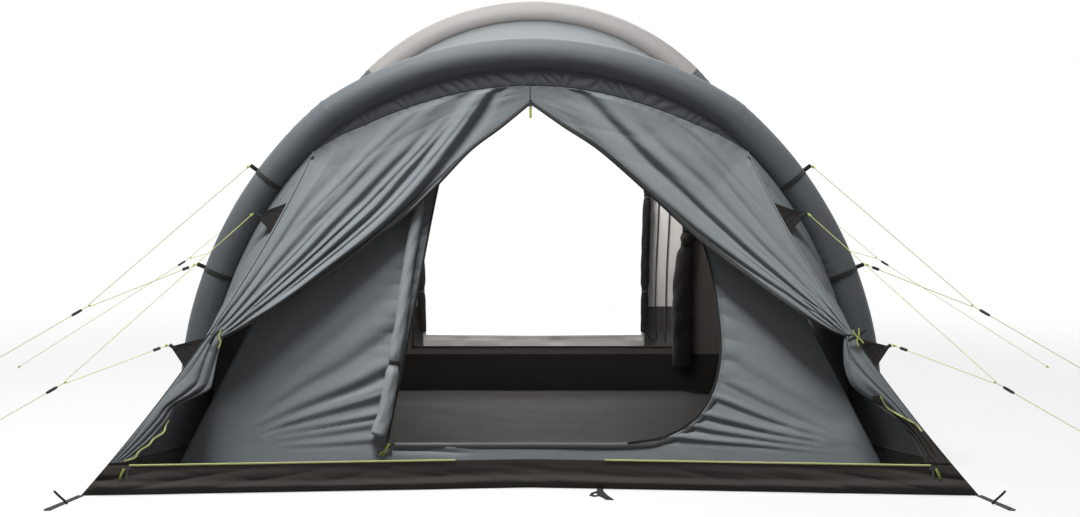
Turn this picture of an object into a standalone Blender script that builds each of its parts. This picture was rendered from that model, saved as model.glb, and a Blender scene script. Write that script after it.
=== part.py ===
# Inflatable two-beam tent, standing pitched with its near door tied open.
# Metres. X runs across the tent, Y from the near end to the far end, Z up.

import math

import bmesh
import bpy
from mathutils import Matrix, Vector
from mathutils.bvhtree import BVHTree

# Cloth, webbing and clearances
touch_gap = 0.0003
weld_gap = touch_gap / 10
cloth = 0.001
seam_clear = cloth / 2 + touch_gap
face_clear = cloth + touch_gap
webbing = 0.003
webbing_width = 0.025
cord_width = 0.003
hem_clear = 0.005
seat_spacing = 0.004
seat_reach = 0.08

# Air beams
beam_width = 0.145
sleeve_wall = 0.0015
air_wall = 0.001
beam_sides = 12
air_sides = 8
crown_steps = 5
side_steps = 11
foot_lift = 0.013

# Near arch, measured over the outside of its sleeve
near_top = 1.844
near_crown_radius = 1.613
near_crown_turn = math.radians(33.6)
near_kink = math.radians(6.7)
near_side_radius = 1.759

# Tall arch, measured the same way
arch_spacing = 2.8
tall_top = 2.151
tall_crown_radius = 1.373
tall_crown_turn = math.radians(44.8)
tall_kink = math.radians(2.2)
tall_side_radius = 2.83

# Ground plan of the two ends
near_corner_half = 1.80
near_corner_reach = 0.61
near_middle_reach = 0.46
far_corner_half = 1.92
far_corner_reach = 0.86
far_middle_reach = 0.75
ground_clear = 0.001

# Flysheet panels
roof_turn = math.radians(38)
roof_sag = 0.02
roof_rows = 5
seam_turn = math.radians(34)
seam_bow = 0.075
gusset_columns = 5
band_depth = 0.07
sill_height = 0.115
sill_lean = 0.02

# Near door, tied back as two curtains
peak_height = 1.567
peak_width = 0.045
peak_reach = 0.05
tie_share = 0.55
tie_width = 0.07
hem_sag = 0.055
fold_depth = 0.018
fold_count = 4.5
fold_columns = 18
curtain_rows = 11
curtain_edge_steps = 8
lower_rows = 5
lower_bulge = 1.2
lower_width = 0.15
lower_end_width = 0.07

# Room: groundsheet tub, walls and canopy
room_front_reach = 0.30
room_lean_share = 0.2
room_length = 2.30
room_near_half = 1.38
room_waist_half = 1.27
room_waist_reach = 0.03
room_far_half = 1.42
tub_height = 0.20
tub_front_height = 0.12
tub_flare = 0.02
tub_inset = face_clear
room_wall_foot_half = 1.50
room_wall_shoulder_half = 0.86
room_wall_shoulder = 1.27
room_wall_top = 1.60
room_far_shoulder_half = 1.02
room_far_shoulder = 1.28
room_far_top = 1.82
dome_steps = 8
canopy_side_steps = 5

# Doorways
room_door_left = 0.60
room_door_right = 0.80
room_door_foot = 0.15
room_door_height = 1.42
room_exit_half = 0.74
room_exit_middle = 0.09
room_exit_foot = 0.24
room_exit_top = 1.62
far_door_half = 0.68
far_door_foot = 0.10
far_door_drop = 0.371
far_door_arch = 0.32
far_door_top = tall_top - far_door_drop
far_door_shoulder = far_door_top - far_door_arch
door_arch_steps = 6

# Rolled doors
roll_stations = (0.0, 0.03, 0.25, 0.5, 0.75, 0.97, 1.0)
roll_end_share = 0.7
room_roll_width = 0.06
room_roll_top_share = 0.785
room_roll_lean_share = 0.72
exit_roll_width = 0.105
exit_roll_length = 1.30
exit_roll_foot = 0.147
far_roll_width = 0.055

# Guy lines: straps on the sleeve, ring and ground places
guy_tab_reach = 0.035
guy_strap_start = math.radians(-80)
guy_strap_finish = math.radians(138)
guy_strap_steps = 26
near_ring_half = 1.90
near_ring_height = 0.70
near_peg_half = 3.11
tall_ring_half = 2.01
tall_ring_height = 0.66
tall_peg_half = 3.05
patch_ring_half = 1.89
patch_ring_height = 0.437
patch_ring_reach = 0.45
patch_peg_half = 2.65
patch_peg_reach = 0.54
upper_band_step = 2.5
lower_band_step = 5.5
tall_upper_step = 4
tall_lower_step = 6.5
ring_width = 0.012
bridle_bend = (60, 30, 0, -30, -60)

# Reinforcing patches on the near seams
patch_base = 0.145
patch_reach = 0.085
patch_drop = 0.029
near_share = 0.05
upper_patch_share = 0.205
lower_patch_share = 0.60
patch_loop = 0.02
patch_loop_width = 0.016

# Guy runners
runner_length = 0.05
runner_width = 0.013
runner_bore = 0.0045
runner_place = 0.06
runner_end_share = 0.8
runner_sides = 10

# Zip sliders and pulls
slider_length = 0.03
slider_width = 0.012
slider_depth = 0.006
pull_length = 0.045
pull_width = 0.010
pull_depth = 0.003
peak_pull_gap = 0.0018
pin_sides = 12
sill_slider_half = 1.62

# Ground straps
strap_turn = math.radians(75.3)
strap_neck_share = 0.45
strap_eye_start = math.radians(-120)
strap_eye_steps = 6
strap_length = 0.27
strap_loop = 0.034
strap_hole = 0.009
strap_hole_sides = 8
middle_tab_place = 0.285
middle_tab_length = 0.20

# Inflation valves
valve_height = 0.235
valve_bore = 0.016
valve_neck = 0.026
valve_neck_height = 0.016
valve_flange = 0.046
valve_flange_depth = 0.002
valve_sink = 0.008
valve_cap_width = 0.036
valve_cap_wall = 0.002
valve_cap_room = 0.0025
valve_cap_height = 0.012
hinge_pin = 0.004
hinge_width = 0.012
hinge_ear = 0.003
round_sides = 24

cut_overrun = 0.01

# Colours
slate = (0.125, 0.142, 0.158)
greige = (0.60, 0.54, 0.51)
taupe = (0.075, 0.062, 0.055)
umber = (0.045, 0.038, 0.034)
black = (0.012, 0.012, 0.013)
lime = (0.55, 0.62, 0.10)
clear_film = (0.55, 0.57, 0.58)
inner_brown = (0.16, 0.14, 0.13)

for old in list(bpy.data.objects):
    bpy.data.objects.remove(old, do_unlink=True)

tent = bpy.data.collections.new("inflatable_tent")
bpy.context.scene.collection.children.link(tent)
cutters = bpy.data.collections.new("cutters")
bpy.context.scene.collection.children.link(cutters)

materials = {}


def material(name, colour, roughness, metallic=0.0):
    if name not in materials:
        made = bpy.data.materials.new(name)
        made.use_nodes = True
        shader = made.node_tree.nodes["Principled BSDF"]
        shader.inputs["Base Color"].default_value = (*colour, 1.0)
        shader.inputs["Roughness"].default_value = roughness
        shader.inputs["Metallic"].default_value = metallic
        materials[name] = made
    return materials[name]


def cloth_colour(name, colour):
    return material(name, colour, 0.8)


def add_mesh(name, points, faces, look, home=None):
    mesh = bpy.data.meshes.new(name)
    mesh.from_pydata([tuple(point) for point in points], [], faces)
    mesh.update()
    made = bpy.data.objects.new(name, mesh)
    (home or tent).objects.link(made)
    if look is not None:
        mesh.materials.append(look)
    return made


def from_shape(name, shape, look, home=None):
    mesh = bpy.data.meshes.new(name)
    shape.to_mesh(mesh)
    shape.free()
    made = bpy.data.objects.new(name, mesh)
    (home or tent).objects.link(made)
    if look is not None:
        mesh.materials.append(look)
    return made


def face_outward(made):
    shape = bmesh.new()
    shape.from_mesh(made.data)
    bmesh.ops.recalc_face_normals(shape, faces=shape.faces)
    shape.to_mesh(made.data)
    shape.free()


def thicken(made, thickness, offset):
    wall = made.modifiers.new("wall", "SOLIDIFY")
    wall.thickness = thickness
    wall.offset = offset
    wall.use_even_offset = True


# A sheet is a loft through rows of points, thickened to both sides. One that is cut later is split first, so that
# its twisted faces are flat and alike on both sides of the cloth
def sheet(name, rows, look, thickness=cloth, cut_later=False):
    columns = len(rows[0])
    points = [point for row in rows for point in row]
    faces = []
    for row in range(len(rows) - 1):
        for column in range(columns - 1):
            corner = row * columns + column
            faces.append((corner, corner + 1, corner + columns + 1, corner + columns))
    made = add_mesh(name, points, faces, look)
    face_outward(made)
    if cut_later:
        made.modifiers.new("split", "TRIANGULATE")
    thicken(made, thickness, 0.0)
    return made


def blend(start, end, share):
    return start + (end - start) * share


def mirrored(points):
    return [Vector((-point.x, point.y, point.z)) for point in points]


def sided(side, point):
    return Vector((side * point.x, point.y, point.z))


# A tube runs along a poly line with round sides and closed ends
def tube(name, points, width, look, sides_share=2, caps=True):
    curve = bpy.data.curves.new(name, "CURVE")
    curve.dimensions = "3D"
    curve.bevel_depth = width / 2
    curve.bevel_resolution = sides_share
    curve.use_fill_caps = caps
    line = curve.splines.new("POLY")
    line.points.add(len(points) - 1)
    for slot, point in zip(line.points, points):
        slot.co = (*point, 1.0)
    made = bpy.data.objects.new(name, curve)
    tent.objects.link(made)
    if look is not None:
        curve.materials.append(look)
    return made


def as_mesh(made, home=None):
    name = made.name
    depsgraph = bpy.context.evaluated_depsgraph_get()
    mesh = bpy.data.meshes.new_from_object(made.evaluated_get(depsgraph))
    mesh.transform(made.matrix_world)
    shape = bmesh.new()
    shape.from_mesh(mesh)
    bmesh.ops.remove_doubles(shape, verts=shape.verts, dist=weld_gap)
    shape.to_mesh(mesh)
    shape.free()
    bpy.data.objects.remove(made, do_unlink=True)
    solid = bpy.data.objects.new(name, mesh)
    (home or tent).objects.link(solid)
    return solid


# A plate is a flat outline with optional holes, pushed out to both sides of its plane
def plate(name, outline, holes, thickness, frame, look, home=None):
    curve = bpy.data.curves.new(name, "CURVE")
    curve.dimensions = "2D"
    curve.fill_mode = "BOTH"
    curve.extrude = thickness / 2
    for loop in [outline] + holes:
        line = curve.splines.new("POLY")
        line.points.add(len(loop) - 1)
        for slot, point in zip(line.points, loop):
            slot.co = (point[0], point[1], 0.0, 1.0)
        line.use_cyclic_u = True
    made = bpy.data.objects.new(name, curve)
    (home or tent).objects.link(made)
    if look is not None:
        curve.materials.append(look)
    made.matrix_world = frame
    bpy.context.view_layer.update()
    return as_mesh(made, home) if home else made


def frame_of(origin, across, up):
    along = across.normalized()
    facing = along.cross(up).normalized()
    rise = facing.cross(along)
    rotation = Matrix((along, rise, facing)).transposed().to_4x4()
    return Matrix.Translation(origin) @ rotation


# A turned piece: a closed profile of (radius, height) spun round the frame's third axis
def turned(name, profile, frame, look, home=None, sides=round_sides):
    shape = bmesh.new()
    ring = [shape.verts.new((radius, 0.0, height)) for radius, height in profile]
    edges = [shape.edges.new(pair) for pair in zip(ring, ring[1:] + ring[:1])]
    bmesh.ops.spin(shape, geom=ring + edges, cent=(0.0, 0.0, 0.0), axis=(0.0, 0.0, 1.0),
                   angle=math.tau, steps=sides, use_merge=True)
    bmesh.ops.remove_doubles(shape, verts=shape.verts, dist=weld_gap)
    bmesh.ops.dissolve_degenerate(shape, edges=shape.edges, dist=weld_gap)
    bmesh.ops.recalc_face_normals(shape, faces=shape.faces)
    bmesh.ops.transform(shape, matrix=frame, verts=shape.verts)
    return from_shape(name, shape, look, home)


def block(name, size, frame, look, home=None):
    shape = bmesh.new()
    bmesh.ops.create_cube(shape, size=1.0, matrix=frame @ Matrix.Diagonal((*size, 1.0)))
    return from_shape(name, shape, look, home)


def combine(made, tool, operation):
    change = made.modifiers.new(tool.name, "BOOLEAN")
    change.operation = operation
    change.solver = "EXACT"
    change.object = tool
    tidy = made.modifiers.new(tool.name + "_weld", "WELD")
    tidy.merge_threshold = weld_gap
    tool.hide_render = True
    tool.display_type = "WIRE"


# Points along the edges of a finished piece, close enough together to find where it meets another
def edge_points(made, depsgraph):
    finished = made.evaluated_get(depsgraph)
    mesh = finished.to_mesh()
    places = [made.matrix_world @ vertex.co for vertex in mesh.vertices]
    points = list(places)
    for edge in mesh.edges:
        start, end = [places[index] for index in edge.vertices]
        count = math.ceil((end - start).length / seat_spacing)
        points += [blend(start, end, step / count) for step in range(1, count)]
    finished.to_mesh_clear()
    return points


# The first place where a line of sight meets a finished piece
def first_hit(made, start, direction, depsgraph, reach):
    back = made.matrix_world.inverted()
    tree = BVHTree.FromObject(made, depsgraph)
    found = tree.ray_cast(back @ start, back.to_3x3() @ direction, reach)
    return None if found[0] is None else made.matrix_world @ found[0]


# Slides a piece along a direction until it rests on the nearest of others, a touch gap away
def seat(made, carriers, direction, reach):
    bpy.context.view_layer.update()
    depsgraph = bpy.context.evaluated_depsgraph_get()
    gaps = [reach]
    pairs = [(made, carrier, direction) for carrier in carriers]
    pairs += [(carrier, made, -direction) for carrier in carriers]
    for moving, fixed, way in pairs:
        back = fixed.matrix_world.inverted()
        turn = back.to_3x3()
        tree = BVHTree.FromObject(fixed, depsgraph)
        for point in edge_points(moving, depsgraph):
            distance = tree.ray_cast(back @ point, turn @ way, reach)[3]
            if distance is not None:
                gaps.append(distance)
    made.location += direction * (min(gaps) - touch_gap)


# Arch geometry: stations hold the centreline point and the turn of its outward normal
def make_arch(top, crown_radius, crown_turn, kink, side_radius, place):
    inset = beam_width / 2
    crown = crown_radius - inset
    side = side_radius - inset
    crown_middle = top - crown_radius
    knee = Vector((crown * math.sin(crown_turn), 0.0, crown_middle + crown * math.cos(crown_turn)))
    start = crown_turn + kink
    middle = knee - side * Vector((math.sin(start), 0.0, math.cos(start)))
    finish = math.acos((foot_lift - middle.z) / side)
    stations = []
    for step in range(crown_steps):
        turn = crown_turn * step / crown_steps
        stations.append((Vector((crown * math.sin(turn), 0.0, crown_middle + crown * math.cos(turn))), turn))
    stations.append((knee, crown_turn + kink / 2))
    for step in range(1, side_steps + 1):
        turn = start + (finish - start) * step / side_steps
        point = middle + side * Vector((math.sin(turn), 0.0, math.cos(turn)))
        stations.append((point, turn))
    return {"half": stations, "place": place}


# A point beside the arch: step counts from the crown, negative on the left leg
def beside(arch, step, outward, along):
    point, turn = arch["half"][abs(step)]
    side = -1 if step < 0 else 1
    x = point.x + outward * math.sin(turn)
    z = point.z + outward * math.cos(turn)
    return Vector((side * x, arch["place"] + along, z))


def between_steps(arch, step, outward, along):
    low = math.floor(step)
    return blend(beside(arch, low, outward, along), beside(arch, low + 1, outward, along), step - low)


last_step = crown_steps + side_steps
knee_step = crown_steps
shoulder_step = crown_steps + 1
near_arch = make_arch(near_top, near_crown_radius, near_crown_turn, near_kink, near_side_radius, 0.0)
tall_arch = make_arch(tall_top, tall_crown_radius, tall_crown_turn, tall_kink, tall_side_radius, arch_spacing)

beam_clear = beam_width / 2 + seam_clear


# How far a panel's edge lies from a many-sided beam's centreline, at a turn from its outward side
def seam_reach(turn):
    facet = math.tau / beam_sides
    offset = turn % facet - facet / 2
    return beam_width / 2 * math.cos(facet / 2) / math.cos(offset) + seam_clear


inner_reach = seam_reach(math.pi - seam_turn)
inner_out = -inner_reach * math.cos(seam_turn)
inner_along = inner_reach * math.sin(seam_turn)


# Air beams: an open sleeve of cloth over a film tube
def sleeve(name, arch, look):
    points = [beside(arch, step, 0.0, 0.0) for step in range(-last_step, last_step + 1)]
    made = as_mesh(tube(name, points, beam_width, look, beam_sides // 2 - 2, caps=False))
    made.data.materials.clear()
    made.data.materials.append(look)
    face_outward(made)
    thicken(made, sleeve_wall, -1.0)
    return made


def air_tube(name, arch, look):
    inner = (beam_width - 2 * sleeve_wall) * math.cos(math.pi / beam_sides) - 2 * touch_gap
    points = [beside(arch, step, 0.0, 0.0) for step in range(-last_step, last_step + 1)]
    lift = Vector((0.0, 0.0, sleeve_wall))
    points[0] += lift
    points[-1] += lift
    made = as_mesh(tube(name, points, inner, look, air_sides // 2 - 2))
    made.data.materials.clear()
    made.data.materials.append(look)
    face_outward(made)
    thicken(made, air_wall, -1.0)
    return made


film = material("film", clear_film, 0.3)
slate_cloth = cloth_colour("slate_cloth", slate)
greige_cloth = cloth_colour("greige_cloth", greige)
taupe_cloth = cloth_colour("taupe_cloth", taupe)
umber_cloth = cloth_colour("umber_cloth", umber)
black_webbing = material("black_webbing", black, 0.7)
black_plastic = material("black_plastic", black, 0.4)
lime_cord = material("lime_cord", lime, 0.6)
brown_cloth = cloth_colour("brown_cloth", inner_brown)

near_sleeve = sleeve("near_sleeve", near_arch, slate_cloth)
near_air_tube = air_tube("near_air_tube", near_arch, film)
tall_sleeve = sleeve("tall_sleeve", tall_arch, slate_cloth)
tall_air_tube = air_tube("tall_air_tube", tall_arch, film)


# Inflation valve on the outside of the right leg, with a hinged cap
def valve_frame(arch):
    for step in range(1, last_step + 1):
        point, turn = arch["half"][step]
        before = arch["half"][step - 1]
        if point.z <= valve_height <= before[0].z:
            middle = (point + before[0]) / 2
            tilt = (turn + before[1]) / 2
            out = Vector((math.sin(tilt), 0.0, math.cos(tilt)))
            origin = Vector((middle.x, arch["place"], middle.z)) + out * beam_width / 2
            return frame_of(origin, Vector((0.0, 1.0, 0.0)), out.cross(Vector((0.0, 1.0, 0.0))))
    return None


def valve(name, arch, sleeve_part, tube_part):
    frame = valve_frame(arch)
    seat = touch_gap
    flange_top = seat + valve_flange_depth
    neck_top = flange_top + valve_neck_height
    hinge_offset = valve_cap_width / 2 + hinge_pin
    hinge_height = flange_top + hinge_pin
    body = turned(name, [(valve_bore / 2, -valve_sink), (valve_neck / 2, -valve_sink),
                         (valve_neck / 2, seat), (valve_flange / 2, seat),
                         (valve_flange / 2, flange_top), (valve_neck / 2, flange_top),
                         (valve_neck / 2, neck_top), (valve_bore / 2, neck_top)], frame, black_plastic)
    for side in (-1, 1):
        offset = side * (hinge_width / 2 + touch_gap + hinge_ear / 2)
        ear_frame = frame @ Matrix.Translation((offset, hinge_offset, hinge_height / 2 + hinge_pin / 2))
        size = (hinge_ear, 2 * hinge_pin, hinge_height + hinge_pin - 2 * seat)
        ear = block(name + ("_ear_left" if side < 0 else "_ear_right"), size, ear_frame, None, cutters)
        combine(body, ear, "UNION")
    pin_turn = Matrix.Rotation(math.pi / 2, 4, "Y")
    pin_frame = frame @ Matrix.Translation((0.0, hinge_offset, hinge_height)) @ pin_turn
    pin_half = hinge_width / 2 + touch_gap + hinge_ear / 2
    pin = turned(name + "_pin", [(0.0, -pin_half), (hinge_pin / 2, -pin_half),
                                 (hinge_pin / 2, pin_half), (0.0, pin_half)], pin_frame, None, cutters)
    combine(body, pin, "UNION")
    hole_radius = valve_neck / 2 + touch_gap
    hole = turned(name + "_hole", [(0.0, -valve_sink - cut_overrun), (hole_radius, -valve_sink - cut_overrun),
                                   (hole_radius, cut_overrun), (0.0, cut_overrun)], frame, None, cutters)
    combine(sleeve_part, hole, "DIFFERENCE")
    combine(tube_part, hole, "DIFFERENCE")
    cap_foot = neck_top - valve_cap_height + 2 * valve_cap_wall
    inner = valve_neck / 2 + valve_cap_room
    roof = neck_top + touch_gap
    cap_top = roof + valve_cap_wall
    cap = turned(name + "_cap", [(0.0, roof), (inner, roof), (inner, cap_foot),
                                 (valve_cap_width / 2, cap_foot), (valve_cap_width / 2, cap_top),
                                 (0.0, cap_top)], frame, black_plastic)
    knuckle_radius = hinge_pin / 2 + touch_gap + valve_cap_wall / 2
    knuckle = turned(name + "_knuckle", [(0.0, -hinge_width / 2), (knuckle_radius, -hinge_width / 2),
                                         (knuckle_radius, hinge_width / 2), (0.0, hinge_width / 2)],
                     pin_frame, None, cutters)
    arm_height = cap_foot - hinge_height + valve_cap_wall
    arm_start = valve_cap_width / 2 - valve_cap_wall / 2
    arm_length = hinge_offset - arm_start
    arm_frame = frame @ Matrix.Translation((0.0, arm_start + arm_length / 2, hinge_height + arm_height / 2))
    arm = block(name + "_arm", (hinge_width, arm_length, arm_height), arm_frame, None, cutters)
    combine(cap, arm, "UNION")
    combine(cap, knuckle, "UNION")
    bore_radius = hinge_pin / 2 + touch_gap
    bore = turned(name + "_bore", [(0.0, -hinge_width), (bore_radius, -hinge_width),
                                   (bore_radius, hinge_width), (0.0, hinge_width)], pin_frame, None, cutters)
    combine(cap, bore, "DIFFERENCE")
    pivot = pin_frame.to_translation()
    cap.data.transform(Matrix.Translation(-pivot))
    cap.location = pivot
    return body, cap


valve("near_valve", near_arch, near_sleeve, near_air_tube)
valve("tall_valve", tall_arch, tall_sleeve, tall_air_tube)

# Roof and side walls between the arches
roof_reach = seam_reach(math.pi / 2 + roof_turn)
roof_drop = roof_reach * math.sin(roof_turn)
tall_along = roof_reach * math.cos(roof_turn)


def roof_row(share, steps):
    row = []
    for step in steps:
        near_point = beside(near_arch, step, 0.0, beam_clear)
        tall_point = beside(tall_arch, step, -roof_drop, -tall_along)
        turn = near_arch["half"][abs(step)][1]
        sag = roof_sag * 4 * share * (1 - share)
        side = -1 if step < 0 else 1
        inward = Vector((-side * math.sin(turn), 0.0, -math.cos(turn)))
        row.append(blend(near_point, tall_point, share) + inward * sag)
    return row


# A row pulled in at both its ends, which leaves room for the neighbouring seam
def trimmed(row, start, end):
    row = list(row)
    if start:
        row[0] = row[0] + (row[1] - row[0]).normalized() * start
    if end:
        row[-1] = row[-1] + (row[-2] - row[-1]).normalized() * end
    return row


crown_range = range(-knee_step, knee_step + 1)
right_range = range(knee_step, last_step + 1)
sheet("roof", [roof_row(row / roof_rows, crown_range) for row in range(roof_rows + 1)], slate_cloth)
right_wall = [trimmed(roof_row(row / roof_rows, right_range), seam_clear, 0.0)
              for row in range(roof_rows + 1)]
sheet("wall_right", right_wall, slate_cloth)
sheet("wall_left", [mirrored(row) for row in right_wall], slate_cloth)

# Near seams, from the shoulder of the arch to the ground corners
seam_top = beside(near_arch, shoulder_step, inner_out, -inner_along)
corner = Vector((near_corner_half, -near_corner_reach, ground_clear))


def seam_point(share):
    bow = Vector((-seam_bow * 4 * share * (1 - share), 0.0, 0.0))
    return blend(seam_top, corner, share) + bow


# Gussets close the sides between the near leg and the seam
gusset_start = webbing_width


def gusset_row(step):
    share = (step - shoulder_step) / (last_step - shoulder_step)
    leg = beside(near_arch, step, inner_out, -inner_along)
    edge = seam_point(share)
    if step == shoulder_step:
        below = beside(near_arch, step + 1, inner_out, -inner_along)
        leg = leg + (below - leg).normalized() * seam_clear
        edge = leg + Vector((0.0, -gusset_start, -gusset_start))
    return [blend(leg, edge, column / gusset_columns) for column in range(gusset_columns + 1)]


gusset_rows = [gusset_row(step) for step in range(shoulder_step, last_step + 1)]
gussets = {1: sheet("gusset_right", gusset_rows, slate_cloth),
           -1: sheet("gusset_left", [mirrored(row) for row in gusset_rows], slate_cloth)}


# Front band under the crown of the near arch
def band_depth_at(step):
    share = abs(step) / shoulder_step
    return band_depth * (1 - share ** 4) + seam_clear


band_steps = range(-shoulder_step, shoulder_step + 1)
band_top = [beside(near_arch, step, inner_out, -inner_along) for step in band_steps]
band_foot = [beside(near_arch, step, inner_out - band_depth_at(step), -inner_along - seam_clear)
             for step in band_steps]
sheet("front_band", [band_top, band_foot], slate_cloth)

# Curtains: each half of the near door, tied back to the seam
sill_top = sill_height + ground_clear
lower_share_end = 1 - (sill_top + 2 * seam_clear + cloth) / (seam_top.z - corner.z)
tie_out = seam_point(tie_share) + Vector((-hem_clear, 0.0, 0.0))


def along_line(points, share):
    lengths = [(after - before).length for before, after in zip(points, points[1:])]
    target = share * sum(lengths)
    for before, after, length in zip(points, points[1:], lengths):
        if target <= length:
            return blend(before, after, target / length)
        target -= length
    return points[-1]


def curtain_outline():
    hang = inner_out - seam_clear
    edge = [beside(near_arch, step, hang - band_depth_at(step), -inner_along - seam_clear)
            for step in range(0, shoulder_step + 1)]
    edge[0] = edge[0] + Vector((seam_clear, 0.0, 0.0))
    for step in range(1, curtain_edge_steps + 1):
        share = tie_share * step / curtain_edge_steps
        if share > band_depth / corner.x:
            edge.append(seam_point(share) + Vector((-hem_clear, 0.0, 0.0)))
    return edge


def curtain():
    edge = curtain_outline()
    peak = Vector((seam_clear, -peak_reach, peak_height))
    tie_in = tie_out + Vector((-tie_width, 0.0, 0.0))
    rows = []
    for row in range(curtain_rows + 1):
        share = row / curtain_rows
        outer = along_line(edge, share)
        free = blend(peak, tie_in, share)
        free.z -= hem_sag * 4 * share * (1 - share)
        open_share = math.sqrt(4 * share * (1 - share))
        points = []
        for column in range(fold_columns + 1):
            across = column / fold_columns
            point = blend(outer, free, across)
            wave = math.sin(math.tau * fold_count * across)
            point.y -= fold_depth * open_share * across * wave
            points.append(point)
        rows.append(points)
    for row in range(1, lower_rows + 1):
        share = row / lower_rows
        outer = seam_point(blend(tie_share, lower_share_end, share)) + Vector((-hem_clear, 0.0, 0.0))
        width = tie_width + (lower_width - tie_width) * math.sin(math.pi * min(share * lower_bulge, 1.0) / 2)
        width = blend(width, lower_end_width, share ** 4)
        free = outer + Vector((-width, 0.0, 0.0))
        points = []
        for column in range(fold_columns + 1):
            across = column / fold_columns
            point = blend(outer, free, across)
            wave = math.sin(math.tau * fold_count * across / 2)
            point.y -= fold_depth * math.sin(math.pi * share) * across * wave
            points.append(point)
        rows.append(points)
    return rows


curtain_points = curtain()
curtains = {1: sheet("curtain_right", curtain_points, slate_cloth),
            -1: sheet("curtain_left", [mirrored(row) for row in curtain_points], slate_cloth)}

# Near sill, straight from each corner to the middle peg
sill_end = corner + Vector((-2 * seam_clear, 0.0, 0.0))
sill_middle = Vector((0.0, -near_middle_reach, ground_clear))
sill_slope = (sill_end.y - sill_middle.y) / sill_end.x
sill_rows = []
for share in (0.0, 0.5, 1.0):
    rise = Vector((0.0, sill_lean, sill_height)) * share
    end = sill_end.copy()
    end.x = seam_point(1 - share * sill_height / (seam_top.z - corner.z)).x - 2 * seam_clear
    end.y = sill_middle.y + sill_slope * end.x
    sill_rows.append([sided(-1, end) + rise, sill_middle + rise, end + rise])
sheet("sill", sill_rows, taupe_cloth)


# Far end: one lofted wall from the tall arch to the ground, with its doorway cut out
far_place = arch_spacing
far_corner = Vector((far_corner_half, far_place + far_corner_reach, ground_clear))
far_middle = Vector((0.0, far_place + far_middle_reach, ground_clear))
far_shoulder_step = crown_steps + 2


def far_ground(step):
    count = abs(step)
    side = -1 if step < 0 else 1
    if count <= far_shoulder_step:
        point = blend(far_middle, far_corner, count / far_shoulder_step)
    else:
        foot = beside(tall_arch, last_step, inner_out, inner_along)
        foot = Vector((foot.x, foot.y, ground_clear))
        share = (count - far_shoulder_step) / (last_step - far_shoulder_step)
        point = blend(far_corner, foot, share)
    return sided(side, point)


def far_column(step):
    top = beside(tall_arch, step, inner_out, inner_along)
    foot = far_ground(step)
    if abs(step) == last_step:
        foot = top + Vector((0.0, webbing, ground_clear - top.z + touch_gap))
    return [blend(top, foot, row / roof_rows) for row in range(roof_rows + 1)]


far_wall = sheet("far_wall", [far_column(step) for step in range(-last_step, last_step + 1)], slate_cloth,
                 cut_later=True)


def arched_outline(half_left, half_right, foot, shoulder, top):
    points = [(-half_left, foot), (half_right, foot)]
    middle = (half_right - half_left) / 2
    half = (half_right + half_left) / 2
    for step in range(door_arch_steps + 1):
        turn = math.pi * step / door_arch_steps
        points.append((middle + half * math.cos(turn), shoulder + (top - shoulder) * math.sin(turn)))
    return points


upright = Matrix.Rotation(math.pi / 2, 4, "X")
doorway = plate("far_doorway", arched_outline(far_door_half, far_door_half, far_door_foot, far_door_shoulder,
                                              far_door_top),
                [], 2 * far_corner_reach, Matrix.Translation((0.0, far_middle.y, 0.0)) @ upright, None, cutters)
combine(far_wall, doorway, "DIFFERENCE")


# Where the far wall stands at a height, found between its straight rulings
def far_wall_place(x, z):
    before = None
    for step in range(0, last_step + 1):
        top = beside(tall_arch, step, inner_out, inner_along)
        foot = far_ground(step)
        point = blend(top, foot, (top.z - z) / (top.z - foot.z))
        if before is not None and point.x >= abs(x):
            found = blend(before, point, (abs(x) - before.x) / (point.x - before.x))
            return Vector((x, found.y, z))
        before = point
    return before


# Rolls of cloth, a little slimmer at both ends
def roll(name, points, width, look):
    made = tube(name, points, width, look, 3)
    line = made.data.splines[0]
    line.points[0].radius = roll_end_share
    line.points[-1].radius = roll_end_share
    return as_mesh(made)


far_roll_half = far_door_half + far_roll_width / 4
for side, label in ((-1, "left"), (1, "right")):
    points = []
    for share in roll_stations:
        z = blend(far_door_shoulder, far_door_foot + far_roll_width / 2, share)
        points.append(far_wall_place(side * far_roll_half, z) + Vector((0.0, -far_roll_width, 0.0)))
    seat(roll("far_door_roll_" + label, points, far_roll_width, slate_cloth), [far_wall],
         Vector((0.0, 1.0, 0.0)), seat_reach)

# Room: groundsheet tub
room_front = -room_front_reach
room_back = room_front + room_length


def room_front_place(z):
    return room_front + room_lean_share * z


tub_plan = [(-room_near_half, room_front + tub_inset), (room_near_half, room_front + tub_inset),
            (room_waist_half, 0.0), (room_far_half, room_back - tub_inset),
            (-room_far_half, room_back - tub_inset), (-room_waist_half, 0.0)]


def tub():
    floor = [Vector((x, y, cloth / 2)) for x, y in tub_plan]
    rim = []
    for x, y in tub_plan:
        at_front = y < 0.0
        height = tub_front_height if at_front else tub_height
        out = tub_flare if x > 0 else -tub_flare
        along = room_lean_share * height if at_front else 0.0
        rim.append(Vector((x + out, y + along, height)))
    count = len(floor)
    faces = [tuple(range(count))]
    for index in range(count):
        after = (index + 1) % count
        faces.append((index, after, count + after, count + index))
    made = add_mesh("groundsheet_tub", floor + rim, faces, umber_cloth)
    face_outward(made)
    thicken(made, cloth, 0.0)
    return made


tub_part = tub()

# Near room wall, a leaning plate with the D-shaped doorway
lean_length = math.sqrt(1.0 + room_lean_share ** 2)
wall_frame = Matrix.Translation((0.0, room_front, 0.0)) @ Matrix.Rotation(
    math.pi / 2 - math.atan(room_lean_share), 4, "X")


def up_wall(height):
    return height * lean_length


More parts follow.
